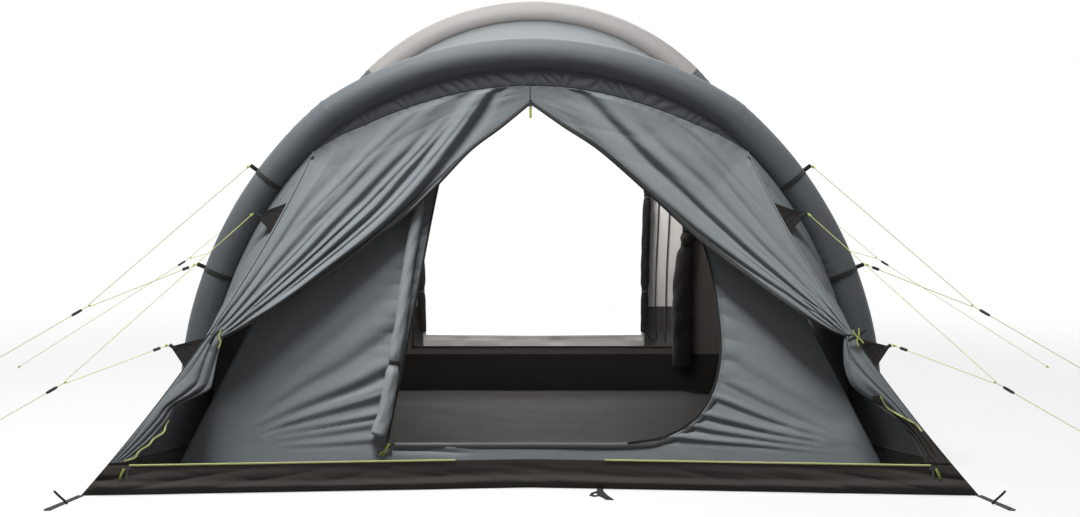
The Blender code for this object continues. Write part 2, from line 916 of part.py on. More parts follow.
wall_foot = 2 * ground_clear
near_wall_outline = [(-room_wall_foot_half, up_wall(wall_foot)), (room_wall_foot_half, up_wall(wall_foot)),
                     (room_wall_shoulder_half, up_wall(room_wall_shoulder))]
for step in range(1, dome_steps):
    turn = math.pi * step / dome_steps
    rise = (room_wall_top - room_wall_shoulder) * math.sin(turn)
    near_wall_outline.append((room_wall_shoulder_half * math.cos(turn), up_wall(room_wall_shoulder + rise)))
near_wall_outline.append((-room_wall_shoulder_half, up_wall(room_wall_shoulder)))

# The doorway's outline: shares of its width from the left and of its height from the foot
door_shares = [(0.0, 0.0), (0.72, 0.0), (0.83, 0.02), (0.92, 0.07), (0.97, 0.14), (0.995, 0.22), (1.0, 0.32),
               (0.975, 0.5), (0.92, 0.66), (0.83, 0.82), (0.70, 0.93), (0.52, 0.99), (0.34, 0.98),
               (0.22, 0.90), (0.16, 0.80), (0.08, 0.4)]
door_width = room_door_right + room_door_left
door_outline = [(across * door_width - room_door_left, up_wall(room_door_foot + up * room_door_height))
                for across, up in door_shares]
near_wall = plate("room_near_wall", near_wall_outline, [door_outline], cloth, wall_frame, slate_cloth)

# Far room wall with the wide doorway
exit_outline = arched_outline(room_exit_half - room_exit_middle, room_exit_half + room_exit_middle,
                              room_exit_foot, room_exit_top - 2 * tub_height, room_exit_top)
far_outline = [(-room_far_half, tub_height + 2 * touch_gap), (room_far_half, tub_height + 2 * touch_gap),
               (room_far_shoulder_half, room_far_shoulder)]
for step in range(1, dome_steps):
    turn = math.pi * step / dome_steps
    rise = (room_far_top - room_far_shoulder) * math.sin(turn)
    far_outline.append((room_far_shoulder_half * math.cos(turn), room_far_shoulder + rise))
far_outline.append((-room_far_shoulder_half, room_far_shoulder))
back_wall = plate("room_far_wall", far_outline, [exit_outline], cloth,
                  Matrix.Translation((0.0, room_back, 0.0)) @ upright, brown_cloth)

# Canopy over the room, from the near wall round the arch to the far wall
canopy_foot = tub_height + cloth


def canopy_profile(foot_half, shoulder_half, shoulder, top, place):
    points = []
    for step in range(canopy_side_steps):
        share = step / canopy_side_steps
        x = blend(foot_half, shoulder_half, share)
        z = blend(canopy_foot, shoulder, share)
        points.append(Vector((x, place(z), z)))
    other_side = mirrored(points[::-1])
    for step in range(dome_steps + 1):
        turn = math.pi * step / dome_steps
        z = shoulder + (top - shoulder) * math.sin(turn)
        points.append(Vector((shoulder_half * math.cos(turn), place(z), z)))
    return points + other_side


# The canopy's crown rises until it hangs right under the near beam
def canopy_crown(half, reach):
    depsgraph = bpy.context.evaluated_depsgraph_get()
    crowns = []
    for step in range(1, dome_steps):
        turn = math.pi * step / dome_steps
        start = Vector((half * math.cos(turn), reach, room_wall_shoulder))
        beam = first_hit(near_sleeve, start, Vector((0.0, 0.0, 1.0)), depsgraph, near_top)
        crowns.append(room_wall_shoulder + (beam.z - face_clear - room_wall_shoulder) / math.sin(turn))
    return min(crowns)


def canopy():
    foot_share = canopy_foot / room_wall_shoulder
    near_foot = blend(room_wall_foot_half, room_wall_shoulder_half, foot_share)
    first = canopy_profile(near_foot - hem_clear, room_wall_shoulder_half - hem_clear, room_wall_shoulder,
                           room_wall_top - hem_clear, lambda z: room_front_place(z) + hem_clear)
    waist_half = room_wall_shoulder_half + webbing_width
    second = canopy_profile(room_waist_half + tub_flare, waist_half, room_wall_shoulder,
                            canopy_crown(waist_half, room_waist_reach), lambda z: room_waist_reach)
    last = canopy_profile(room_far_half + tub_flare, room_far_shoulder_half, room_far_shoulder,
                          room_far_top, lambda z: room_back - seam_clear)
    middle = [blend(before, after, 0.5) for before, after in zip(second, last)]
    return sheet("room_canopy", [first, second, middle, last], brown_cloth)


canopy()

# Rolled doors of the room
roll_foot = Vector((-room_door_left - room_roll_width / 2, 0.0, room_door_foot + room_roll_width))
roll_top = Vector((-room_door_left * room_roll_lean_share - room_roll_width / 2, 0.0,
                   room_door_foot + room_roll_top_share * room_door_height))
for end in (roll_foot, roll_top):
    end.y = room_front_place(end.z) - room_roll_width
door_roll = roll("room_door_roll", [blend(roll_top, roll_foot, share) for share in roll_stations],
                 room_roll_width, slate_cloth)
seat(door_roll, [near_wall], Vector((0.0, 1.0, 0.0)), seat_reach)
exit_roll_top = Vector((room_exit_half + room_exit_middle, room_back - exit_roll_width,
                        exit_roll_foot + exit_roll_length))
exit_roll_end = exit_roll_top - Vector((0.0, 0.0, exit_roll_length))
exit_roll = roll("room_exit_roll", [blend(exit_roll_top, exit_roll_end, share) for share in roll_stations],
                 exit_roll_width, umber_cloth)
seat(exit_roll, [back_wall, tub_part], Vector((0.0, 1.0, 0.0)), seat_reach)


# Straps round the near sleeve, open where the panels are sewn on
strap_half_step = (guy_strap_finish - guy_strap_start) / guy_strap_steps / 2
strap_inner = (beam_width / 2 + touch_gap) / math.cos(strap_half_step)
strap_outer = strap_inner + webbing / 2


def strap_outline():
    steps = guy_strap_steps
    inner = strap_inner
    outer = strap_outer
    inner_arc = []
    outer_arc = []
    for step in range(steps + 1):
        turn = blend(guy_strap_start, guy_strap_finish, step / steps)
        inner_arc.append((inner * math.cos(turn), inner * math.sin(turn)))
        outer_arc.append((outer * math.cos(turn), outer * math.sin(turn)))
    split = min(range(steps + 1), key=lambda step: abs(outer_arc[step][1]))
    reach = outer + guy_tab_reach
    half = webbing / 2
    tab = [(outer, -half), (reach, -half), (reach, half), (outer, half)]
    return inner_arc + outer_arc[:split:-1] + tab[::-1] + outer_arc[split - 1::-1]


def strap_frame(arch, step, side):
    low = math.floor(step)
    first = beside(arch, low, 0.0, 0.0)
    second = beside(arch, low + 1, 0.0, 0.0)
    middle = blend(first, second, step - low)
    along = (second - first).normalized()
    out = Vector((-along.z, 0.0, along.x))
    origin = sided(side, middle)
    out = sided(side, out)
    front = Vector((0.0, -1.0, 0.0))
    frame = Matrix((out, front, out.cross(front))).transposed().to_4x4()
    return Matrix.Translation(origin) @ frame, origin, out


def strap(label, step, side):
    frame, origin, out = strap_frame(near_arch, crown_steps + step, side)
    plate("guy_strap_" + label, strap_outline(), [], webbing_width, frame, black_webbing)


for side, label in ((-1, "left"), (1, "right")):
    strap("upper_" + label, upper_band_step, side)
    strap("lower_" + label, lower_band_step, side)


def strap_tip(step, side):
    frame, origin, out = strap_frame(near_arch, crown_steps + step, side)
    return origin + out * (strap_outer + guy_tab_reach), out


# Patches sewn to the near seams, with a webbing loop at their points
def patch(name, share, side):
    middle = seam_point(share)
    along = (seam_point(share + near_share) - seam_point(share - near_share)).normalized()
    clear = Vector((hem_clear + webbing, 0.0, 0.0))
    out = Vector((1.0, 0.0, 0.0))
    out = (out - along * out.dot(along)).normalized()
    origin = middle + clear
    half = patch_base / 2
    loop_half = patch_loop_width / 2
    loop_end = patch_reach + patch_loop
    outline = [(-half, 0.0), (half, 0.0), (patch_drop + loop_half, patch_reach),
               (patch_drop + loop_half, loop_end), (patch_drop - loop_half, loop_end),
               (patch_drop - loop_half, patch_reach)]
    tip = origin + along * patch_drop + out * loop_end
    if side < 0:
        origin = sided(side, origin)
        along = sided(side, along)
        out = sided(side, out)
    frame = frame_of(origin, along, out)
    if frame.col[1].to_3d().dot(out) < 0:
        outline = [(x, -y) for x, y in outline]
    piece = plate(name, outline, [], webbing, frame, umber_cloth)
    inward = Vector((-side, 0.0, 0.0))
    before = piece.location.copy()
    seat(piece, [gussets[side], curtains[side]], inward, seat_reach)
    return sided(side, tip) + piece.location - before, out


# Where a cord's round end meets a loop whose flat end faces outward
def cord_end(tip, out, ring):
    turn = (ring - tip).normalized().cross(out).length
    return tip + out * (touch_gap + cord_width / 2 * turn)


# One guy: a bridle between two loops, the line to its peg and the runner on the line
def guy(label, upper_loop, lower_loop, ring, peg):
    upper = cord_end(*upper_loop, ring)
    lower = cord_end(*lower_loop, ring)
    to_upper = (upper - ring).normalized()
    to_lower = (lower - ring).normalized()
    forward = (peg - ring).normalized()
    across = (to_upper - to_lower)
    across = (across - forward * across.dot(forward)).normalized()
    bend = [ring + ring_width / 2 * (forward * math.cos(turn) + across * math.sin(turn))
            for turn in (math.radians(degrees) for degrees in bridle_bend)]
    tube("guy_bridle_" + label, [upper] + bend + [lower], cord_width, lime_cord)
    start = ring + forward * (ring_width / 2 + cord_width / 2 + 2 * touch_gap)
    tube("guy_line_" + label, [start, blend(start, peg, 0.5), peg], cord_width, lime_cord)
    centre = start + forward * runner_place
    half = runner_length / 2
    bore = runner_bore / 2
    wide = runner_width / 2
    slim = wide * runner_end_share
    frame = Matrix.Translation(centre) @ forward.to_track_quat("Z", "Y").to_matrix().to_4x4()
    profile = [(bore, -half), (slim, -half), (wide, -half / 2), (wide, half / 2), (slim, half), (bore, half)]
    runner = turned("guy_runner_" + label, profile, frame, black_plastic, sides=runner_sides)
    runner.data.transform(Matrix.Translation(-centre))
    runner.location = centre


# Where a bridle is sewn to the outside of the tall sleeve
def sleeve_hold(step, side):
    origin = between_steps(tall_arch, crown_steps + step, 0.0, 0.0)
    outside = between_steps(tall_arch, crown_steps + step, beam_width, 0.0)
    out = sided(side, (outside - origin).normalized())
    depsgraph = bpy.context.evaluated_depsgraph_get()
    return first_hit(tall_sleeve, sided(side, outside), -out, depsgraph, beam_width), out


peg_lift = cord_width
for side, label in ((-1, "left"), (1, "right")):
    upper_tip = patch("patch_upper_" + label, upper_patch_share, side)
    lower_tip = patch("patch_lower_" + label, lower_patch_share, side)
    guy("patch_" + label, upper_tip, lower_tip,
        Vector((side * patch_ring_half, -patch_ring_reach, patch_ring_height)),
        Vector((side * patch_peg_half, -patch_peg_reach, peg_lift)))
    guy("near_" + label, strap_tip(upper_band_step, side), strap_tip(lower_band_step, side),
        Vector((side * near_ring_half, 0.0, near_ring_height)),
        Vector((side * near_peg_half, 0.0, peg_lift)))
    guy("tall_" + label, sleeve_hold(tall_upper_step, side), sleeve_hold(tall_lower_step, side),
        Vector((side * tall_ring_half, arch_spacing, tall_ring_height)),
        Vector((side * tall_peg_half, arch_spacing, peg_lift)))

# Ground straps at the near corners and the tab in the middle of the sill
for side, label in ((-1, "left"), (1, "right")):
    along = Vector((side * math.cos(strap_turn), -math.sin(strap_turn), 0.0))
    origin = sided(side, corner) + along * seam_clear
    origin.z = webbing / 2
    half = webbing_width / 2
    eye = strap_length - strap_loop / 2
    neck = strap_length * strap_neck_share
    outline = [(0.0, -half), (neck, -half)]
    for step in range(strap_eye_steps + 1):
        turn = strap_eye_start * (1 - 2 * step / strap_eye_steps)
        outline.append((eye + strap_loop / 2 * math.cos(turn), strap_loop / 2 * math.sin(turn)))
    outline += [(neck, half), (0.0, half)]
    hole = []
    for step in range(strap_hole_sides):
        turn = math.tau * step / strap_hole_sides
        hole.append((eye + strap_hole * math.cos(turn), strap_hole * math.sin(turn)))
    plate("ground_strap_" + label, outline, [hole], webbing,
          frame_of(origin, along, Vector((0.0, 0.0, 1.0)).cross(along)), black_webbing)

# Outline of the middle tab: shares of its length and of the webbing's width
tab_shares = [(0.0, -0.5), (0.22, -0.6), (0.38, -1.5), (0.60, -1.9), (0.72, -1.2), (0.66, -0.3), (0.98, 0.7),
              (1.0, 1.9), (0.60, 1.0), (0.25, 0.5), (0.0, 0.5)]
tab_hole_shares = [(0.40, -1.0), (0.58, -1.4), (0.62, -0.8), (0.45, -0.4)]
tab_gap = seam_clear + touch_gap - sill_slope * webbing_width / 2
tab_origin = Vector((middle_tab_place, sill_middle.y + sill_slope * middle_tab_place - tab_gap, webbing / 2))


def tab_places(shares):
    return [(along * middle_tab_length, across * webbing_width) for along, across in shares]


plate("middle_ground_tab", tab_places(tab_shares), [tab_places(tab_hole_shares)], webbing,
      frame_of(tab_origin, Vector((0.0, -1.0, 0.0)), Vector((1.0, 0.0, 0.0))), black_webbing)


# Zip sliders with their pull tabs
def slider(name, centre, along, up):
    frame = frame_of(centre, along, up)
    body = block(name, (slider_length, slider_width, slider_depth), frame, black_plastic)
    front = 1 if frame.col[2].y < 0 else -1
    drop = slider_width / 2 + pull_length / 2 - pull_depth
    tab_frame = frame @ Matrix.Translation((0.0, -drop, front * (slider_depth - pull_depth) / 2))
    tab = block(name + "_tab", (pull_width, pull_length, pull_depth), tab_frame, None, cutters)
    combine(body, tab, "UNION")
    body.data.transform(Matrix.Translation(-centre))
    body.location = centre
    return body


slider_stand = cloth / 2 + touch_gap + slider_depth / 2
lean_up = Vector((0.0, room_lean_share, 1.0)).normalized()
lean_front = Vector((0.0, -1.0, room_lean_share)).normalized()
room_slider_place = Vector((slider_length / 2 - room_door_left, room_front_place(room_door_foot),
                            room_door_foot))
slider("room_zip_slider", room_slider_place + lean_front * slider_stand, Vector((1.0, 0.0, 0.0)), lean_up)
sill_up = Vector((0.0, sill_lean, sill_height)).normalized()
for side, label in ((-1, "left"), (1, "right")):
    run = Vector((side * sill_end.x, sill_end.y - sill_middle.y, 0.0)).normalized()
    share = (sill_height - slider_width) / sill_height
    place = Vector((side * sill_slider_half, sill_middle.y + sill_slope * sill_slider_half, ground_clear))
    place += Vector((0.0, sill_lean, sill_height)) * share
    face = run.cross(sill_up)
    face = face if face.y < 0 else -face
    slider("sill_slider_" + label, place + face * slider_stand, run, sill_up)

# Slider at the peak of the near door, with its pull swinging on a pin
peak_place = Vector((0.0, -peak_reach - slider_stand - face_clear, peak_height - seam_clear))
peak_frame = frame_of(peak_place, Vector((1.0, 0.0, 0.0)), Vector((0.0, 0.0, 1.0)))
peak_slider = block("peak_slider", (slider_width, slider_length, slider_depth), peak_frame, black_plastic)
pull_pin = pull_depth
ear_width = webbing / 2
pull_bore = pull_pin / 2 + touch_gap
pull_thick = 2 * pull_bore + pull_depth
pin_drop = slider_length / 2 + pull_thick / 2 + peak_pull_gap
for side in (-1, 1):
    offset = side * (pull_width / 2 + touch_gap + ear_width / 2)
    ear_frame = peak_frame @ Matrix.Translation((offset, -pin_drop + pull_pin, 0.0))
    ear = block("peak_ear_left" if side < 0 else "peak_ear_right",
                (ear_width, 4 * pull_pin, 2 * pull_pin), ear_frame, None, cutters)
    combine(peak_slider, ear, "UNION")
pin_frame = peak_frame @ Matrix.Translation((0.0, -pin_drop, 0.0)) @ Matrix.Rotation(math.pi / 2, 4, "Y")
pin_half = pull_width / 2 + touch_gap + ear_width / 2
peak_pin = turned("peak_pin", [(0.0, -pin_half), (pull_pin / 2, -pin_half), (pull_pin / 2, pin_half),
                               (0.0, pin_half)], pin_frame, None, cutters, sides=pin_sides)
combine(peak_slider, peak_pin, "UNION")
peak_pull_frame = peak_frame @ Matrix.Translation((0.0, -pin_drop - pull_length / 2 + pull_thick / 2, 0.0))
peak_pull = block("peak_pull", (pull_width, pull_length, pull_thick), peak_pull_frame, lime_cord)
peak_bore = turned("peak_bore", [(0.0, -pull_width), (pull_bore, -pull_width), (pull_bore, pull_width),
                                 (0.0, pull_width)], pin_frame, None, cutters, sides=pin_sides)
combine(peak_pull, peak_bore, "DIFFERENCE")
pull_pivot = pin_frame.to_translation()
peak_pull.data.transform(Matrix.Translation(-pull_pivot))
peak_pull.location = pull_pivot

# The finished tent stands centred over the origin
places = []
bpy.context.view_layer.update()
depsgraph = bpy.context.evaluated_depsgraph_get()
for made in tent.objects:
    if not made.name.startswith(("guy_bridle", "guy_line", "guy_runner")):
        finished = made.evaluated_get(depsgraph)
        places += [made.matrix_world @ vertex.co for vertex in finished.to_mesh().vertices]
        finished.to_mesh_clear()
low = Vector([min(place[axis] for place in places) for axis in range(3)])
high = Vector([max(place[axis] for place in places) for axis in range(3)])
middle = Vector(((low.x + high.x) / 2, (low.y + high.y) / 2, low.z))
for made in list(tent.objects) + list(cutters.objects):
    made.location -= middle
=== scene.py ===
import math

import bpy
import numpy as np
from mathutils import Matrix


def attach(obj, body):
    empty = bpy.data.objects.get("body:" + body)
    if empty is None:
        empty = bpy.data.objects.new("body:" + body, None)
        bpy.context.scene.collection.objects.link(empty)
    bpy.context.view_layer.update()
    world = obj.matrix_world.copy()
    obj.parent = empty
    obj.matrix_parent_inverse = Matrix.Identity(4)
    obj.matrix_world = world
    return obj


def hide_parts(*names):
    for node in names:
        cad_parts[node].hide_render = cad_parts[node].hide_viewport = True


# Inflatable tent with two air beams, pitched, its near door tied open. Metres, Z up.
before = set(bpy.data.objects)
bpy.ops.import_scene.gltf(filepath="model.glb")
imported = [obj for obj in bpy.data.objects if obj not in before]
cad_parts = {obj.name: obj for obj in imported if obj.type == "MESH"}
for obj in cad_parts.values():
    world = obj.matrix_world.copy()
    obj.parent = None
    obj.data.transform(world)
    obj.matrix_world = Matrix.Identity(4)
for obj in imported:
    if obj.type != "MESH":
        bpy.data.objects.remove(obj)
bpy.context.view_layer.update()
nearY, tallY = -1.39422, 1.40578
sides = ((-1, "left"), (1, "right"))

# Numbers and shapes shared by the pieces

beam = 0.145
arches = {
    "near": {"top": 1.844, "crown": 1.613, "crownTurn": 33.6, "kink": 6.7, "side": 1.759, "y": nearY},
    "tall": {"top": 2.151, "crown": 1.373, "crownTurn": 44.8, "kink": 2.2, "side": 2.83, "y": tallY},
}
knee, shoulder, foot = 5, 6, 16  # places along half an arch, counted from its top
footLift = 0.013
clothThickness, tapeThickness, zipThickness, limeThickness = 0.0008, 0.0012, 0.0016, 0.0018
innerOut, innerAlong = -0.05981, 0.04034  # where the cloth meets a beam's inner side
roofDrop, roofAlong = 0.04393, 0.05623  # where the roof meets the tall beam


def smooth(value):  # 0 to 1 with level ends: 3t^2 - 2t^3
    value = np.clip(value, 0.0, 1.0)
    return value * value * (3 - 2 * value)


def mix(first, second, share):
    return first + (second - first) * share


def stack(x, y, z):
    return np.stack(np.broadcast_arrays(x, y, z), axis=-1).astype(float)


def unit(vectors):
    return vectors / np.maximum(np.linalg.norm(vectors, axis=-1, keepdims=True), 1e-9)


# Value noise from -1 to 1: random heights on a lattice, eased between its points
def noise(u, v, seed, octaves=1):
    table = np.random.default_rng(seed).random((64, 64))
    total, size, weight = 0.0, 1.0, 0.0
    for octave in range(octaves):
        u2, v2 = np.broadcast_arrays(u * 2 ** octave + 11.3 * octave, v * 2 ** octave + 5.7 * octave)
        iu, iv = np.floor(u2).astype(int), np.floor(v2).astype(int)
        fu, fv = smooth(u2 - iu), smooth(v2 - iv)
        low = mix(table[iu % 64, iv % 64], table[(iu + 1) % 64, iv % 64], fu)
        high = mix(table[iu % 64, (iv + 1) % 64], table[(iu + 1) % 64, (iv + 1) % 64], fu)
        total = total + size * (2 * mix(low, high, fv) - 1)
        weight += size
        size *= 0.5
    return total / weight


# A fold's section: round crests and narrower valleys, |sin|^0.75 from -1 to 1
def pleat(phase):
    return 2 * np.abs(np.sin(np.pi * phase)) ** 0.75 - 1


# Folds fanning from a point, each a crest beside a valley. A fold is (angle at 0.5 m, turn per metre,
# half width, depth, start, stop), and both its ends fade out
def fanFolds(away, angle, folds):
    out = 0.0 * away
    for at, turn, width, depth, start, stop in folds:
        d = (angle - at - turn * (away - 0.5)) / width
        shape = np.exp(-(d - 0.55) ** 2) - 0.95 * np.exp(-((d + 0.75) / 0.60) ** 2)
        out = out + depth * shape * smooth((away - start) / 0.10) * smooth((stop - away) / 0.45)
    return out


# A smooth curve through points (Catmull-Rom), sampled at equal steps of length
def curveThrough(points, count):
    points = np.array(points, float)
    padded = np.vstack([2 * points[0] - points[1], points, 2 * points[-1] - points[-2]])
    t = np.linspace(0, len(points) - 1 - 1e-6, 40 * len(points))
    i = t.astype(int)
    f = (t - i)[:, None]
    a, b, c, d = padded[i], padded[i + 1], padded[i + 2], padded[i + 3]
    square, cube = 2 * a - 5 * b + 4 * c - d, 3 * b - a - 3 * c + d
    line = 0.5 * (2 * b + (c - a) * f + square * f ** 2 + cube * f ** 3)
    return evenly(np.vstack([line, points[-1:]]), count)


def evenly(line, count):  # the same line at equal steps of length
    line = np.array(line, float)
    lengths = np.concatenate([[0], np.cumsum(np.linalg.norm(np.diff(line, axis=0), axis=1))])
    at = np.linspace(0, lengths[-1], count)
    return np.stack([np.interp(at, lengths, line[:, k]) for k in range(line.shape[1])], axis=1)


# Centreline and turn of an arch: a crown arc of one radius, then side arcs of another, met at the knee
def archLine(which, s):
    arch = arches[which]
    crown, side = arch["crown"] - beam / 2, arch["side"] - beam / 2
    crownTurn, kink = math.radians(arch["crownTurn"]), math.radians(arch["kink"])
    middle = arch["top"] - arch["crown"]
    kneeX, kneeZ = crown * math.sin(crownTurn), middle + crown * math.cos(crownTurn)
    start = crownTurn + kink
    sideX, sideZ = kneeX - side * math.sin(start), kneeZ - side * math.cos(start)
    finish = math.acos((footLift - sideZ) / side)
    count, sign = np.abs(s), np.where(np.asarray(s) < 0, -1.0, 1.0)
    upper = crownTurn * count / knee
    lower = start + (finish - start) * (count - knee) / (foot - knee)
    below = count > knee
    x = np.where(below, sideX + side * np.sin(lower), crown * np.sin(upper))
    z = np.where(below, sideZ + side * np.cos(lower), middle + crown * np.cos(upper))
    turn = mix(upper, lower, smooth((count - knee + 0.35) / 0.7))
    return sign * x, z, sign * turn


# A point beside an arch: outward from its centreline and along Y
def beside(which, s, outward, along):
    x, z, turn = archLine(which, s)
    y = arches[which]["y"] + along + 0 * x
    return stack(x + outward * np.sin(turn), y, z + outward * np.cos(turn))


# Meshes

# A grid of points joined by four-sided faces, with a UV map in metres along its rows and columns
def gridMesh(name, points, closeRows=False, closeCols=False, attributes=None):
    rows, cols = points.shape[:2]
    r = np.arange(rows if closeRows else rows - 1)
    c = np.arange(cols if closeCols else cols - 1)
    r, c = [grid.ravel() for grid in np.meshgrid(r, c, indexing="ij")]
    cornerRows = np.stack([r, r, r + 1, r + 1], axis=1)
    cornerCols = np.stack([c, c + 1, c + 1, c], axis=1)
    faces = (cornerRows % rows) * cols + cornerCols % cols
    mesh = bpy.data.meshes.new(name)
    mesh.vertices.add(rows * cols)
    mesh.vertices.foreach_set("co", points.reshape(-1, 3).astype(np.float32).ravel())
    mesh.loops.add(faces.size)
    mesh.loops.foreach_set("vertex_index", faces.ravel().astype(np.int32))
    mesh.polygons.add(len(faces))
    mesh.polygons.foreach_set("loop_start", np.arange(0, faces.size, 4, dtype=np.int32))
    mesh.polygons.foreach_set("use_smooth", np.ones(len(faces), dtype=bool))
    across = np.linalg.norm(np.roll(points, -1, axis=1) - points, axis=2).mean(axis=0)
    down = np.linalg.norm(np.roll(points, -1, axis=0) - points, axis=2).mean(axis=1)
    u, v = np.concatenate([[0], np.cumsum(across)]), np.concatenate([[0], np.cumsum(down)])
    uv = np.stack([u[cornerCols], v[cornerRows]], axis=-1).astype(np.float32)
    mesh.uv_layers.new(name="cloth").data.foreach_set("uv", uv.ravel())
    for key, values in (attributes or {}).items():
        layer = mesh.attributes.new(key, "FLOAT", "POINT")
        layer.data.foreach_set("value", np.broadcast_to(values, (rows, cols)).astype(np.float32).ravel())
    mesh.validate()
    mesh.update(calc_edges=True)
    return mesh


def addPiece(name, mesh, look, slot, body="tent", nodes=()):
    made = bpy.data.objects.new(name, mesh)
    bpy.context.scene.collection.objects.link(made)
    mesh.materials.append(looks[look])
    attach(made, body)
    if nodes:
        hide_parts(*nodes)
    return made


def thicken(made, thickness, offset=0.0):
    wall = made.modifiers.new("wall", "SOLIDIFY")
    wall.thickness, wall.offset, wall.use_even_offset = thickness, offset, False


def gridArea(points):  # area of the grid's faces, half the length of their crossed diagonals
    a = points[1:, 1:] - points[:-1, :-1]
    b = points[1:, :-1] - points[:-1, 1:]
    return float(np.linalg.norm(np.cross(a, b), axis=-1).sum() / 2)


# A sheet of cloth: its cut is the size that its rows and columns measure laid out flat, unless it is given
def clothPiece(name, points, look, slot, restsOn, nodes=(), cut=None, thickness=clothThickness, hem=1.0,
               closeCols=False):
    mesh = gridMesh(name, points, closeCols=closeCols, attributes={"hem": hem})
    made = addPiece(name, mesh, look, slot, nodes=nodes)
    thicken(made, thickness)
    width = float(np.linalg.norm(np.diff(points, axis=1), axis=2).sum(axis=1).max())
    length = float(np.linalg.norm(np.diff(points, axis=0), axis=2).sum(axis=0).max())
    width, length = cut or (width, length)
    area = min(gridArea(points), width * length)  # never more than the cut


# A round tube along a path: path + radius (cos a side + sin a up), with its frame held level with "up"
def tubeGrid(path, radius, count, up=(0.0, 1.0, 0.0), relief=None):
    along = unit(np.gradient(path, axis=0))
    side = unit(np.cross(along, np.array(up, float)))
    top = unit(np.cross(side, along))
    turn = np.linspace(0, math.tau, count, endpoint=False)[None, :, None]
    size = np.broadcast_to(radius, (len(path),))[:, None, None] * np.ones((1, count, 1))
    if relief is not None:
        size = size + relief[:, :, None]
    return path[:, None] + size * (np.cos(turn) * side[:, None] + np.sin(turn) * top[:, None])


# Closes a tube's ends with rings that shrink to a point
def capped(grid, depth=0.5):
    first, last = grid[0], grid[-1]
    ends = []
    for ring, inner in ((first, grid[1]), (last, grid[-2])):
        middle, behind = ring.mean(axis=0), inner.mean(axis=0)
        radius = float(np.linalg.norm(ring - middle, axis=1).mean())
        out = unit(middle - behind)
        turns = np.radians([30, 55, 75, 90])[:, None, None]
        ends.append(middle + (ring - middle) * np.cos(turns) + out * depth * radius * np.sin(turns))
    return np.concatenate([ends[0][::-1], grid, ends[1]])


# A flat strip of tape along a path: path + share of width along "across", its share from -0.5 to 0.5
def tape(name, path, across, width, thickness, look, slot="webbing", cols=5, offset=0.0, **riding):
    share = np.linspace(-0.5, 0.5, cols)[None, :, None]
    grid = path[:, None] + unit(np.broadcast_to(across, path.shape))[:, None] * share * width
    thicken(addPiece(name, gridMesh(name, grid), look, slot, **riding), thickness, offset)


# A rounded welt, cord or bar along a line, its ends closed unless the line is
def welt(name, line, radius, look, slot, up=(0.0, 1.0, 0.0), count=8, closed=False, attributes=None):
    grid = tubeGrid(line, radius, count, up)
    mesh = gridMesh(name, grid if closed else capped(grid), closed, True, attributes)
    return addPiece(name, mesh, look, slot)


def sideways(line, facing=(0.0, 1.0, 0.0)):  # across a line, in the plane that faces one way
    return unit(np.cross(unit(np.gradient(line, axis=0)), facing))


# Shader maths written as plain expressions

class Value:
    def __init__(self, look, socket):
        self.look, self.socket = look, socket

    def __add__(self, other):
        return self.look.maths("ADD", self, other)

    __radd__ = __add__

    def __sub__(self, other):
        return self.look.maths("SUBTRACT", self, other)

    def __rsub__(self, other):
        return self.look.maths("SUBTRACT", other, self)

    def __mul__(self, other):
        return self.look.maths("MULTIPLY", self, other)

    __rmul__ = __mul__

    def part(self, name):
        return Value(self.look, self.socket.node.outputs[name])


class Look:
    def __init__(self, name, kind="materials"):
        self.owner = getattr(bpy.data, kind).new(name)
        self.owner.use_nodes = True
        self.tree = self.owner.node_tree
        self.tree.nodes.clear()

    def node(self, kind, settings, sockets, output=0):
        made = self.tree.nodes.new(kind)
        for key, value in settings.items():
            setattr(made, key, value)
        for key, value in sockets.items():
            if isinstance(value, Value):
                self.tree.links.new(value.socket, made.inputs[key])
            else:
                made.inputs[key].default_value = value
        return Value(self, made.outputs[output])

    def maths(self, operation, *values):
        return self.node("ShaderNodeMath", {"operation": operation}, dict(enumerate(values)))

    def sine(self, value):
        return self.maths("SINE", value)

    def size(self, value):
        return self.maths("ABSOLUTE", value)

    def place(self):
        return self.node("ShaderNodeTexCoord", {}, {}, "Object")

    def attribute(self, name):
        return self.node("ShaderNodeAttribute", {"attribute_name": name}, {}, "Fac")

    def clothMap(self):  # the piece's own map in metres, whole, across and along
        flat = self.node("ShaderNodeUVMap", {"uv_map": "cloth"}, {})
        split = self.node("ShaderNodeSeparateXYZ", {}, {0: flat})
        return flat, split.part("X"), split.part("Y")

    def step(self, value, low, high):  # eases from 0 at low to 1 at high
        return self.node("ShaderNodeMapRange", {"interpolation_type": "SMOOTHSTEP"},
                         {"Value": value, "From Min": low, "From Max": high})

    def blur(self, place, scale, detail=2.0, stretch=(1.0, 1.0, 1.0), rough=0.5):
        moved = self.node("ShaderNodeVectorMath", {"operation": "MULTIPLY"}, {0: place, 1: stretch})
        sockets = {"Vector": moved, "Scale": scale, "Detail": detail, "Roughness": rough}
        return self.node("ShaderNodeTexNoise", {}, sockets, "Fac")

    def colour(self, share, first, second):
        first, second = [tone if isinstance(tone, Value) else (*tone, 1.0) for tone in (first, second)]
        return self.node("ShaderNodeMix", {"data_type": "RGBA"}, {0: share, 6: first, 7: second}, 2)

    def end(self, shader, kind="ShaderNodeOutputMaterial"):
        self.tree.links.new(shader.socket, self.tree.nodes.new(kind).inputs["Surface"])
        return self.owner

    def finish(self, sockets, height, depth):
        bump = {"Height": height, "Distance": depth, "Strength": 1.0}
        sockets["Normal"] = self.node("ShaderNodeBump", {}, bump, "Normal")
        return self.end(self.node("ShaderNodeBsdfPrincipled", {}, sockets, "BSDF"))


def darker(tone, share):
    return tuple(channel * share for channel in tone)


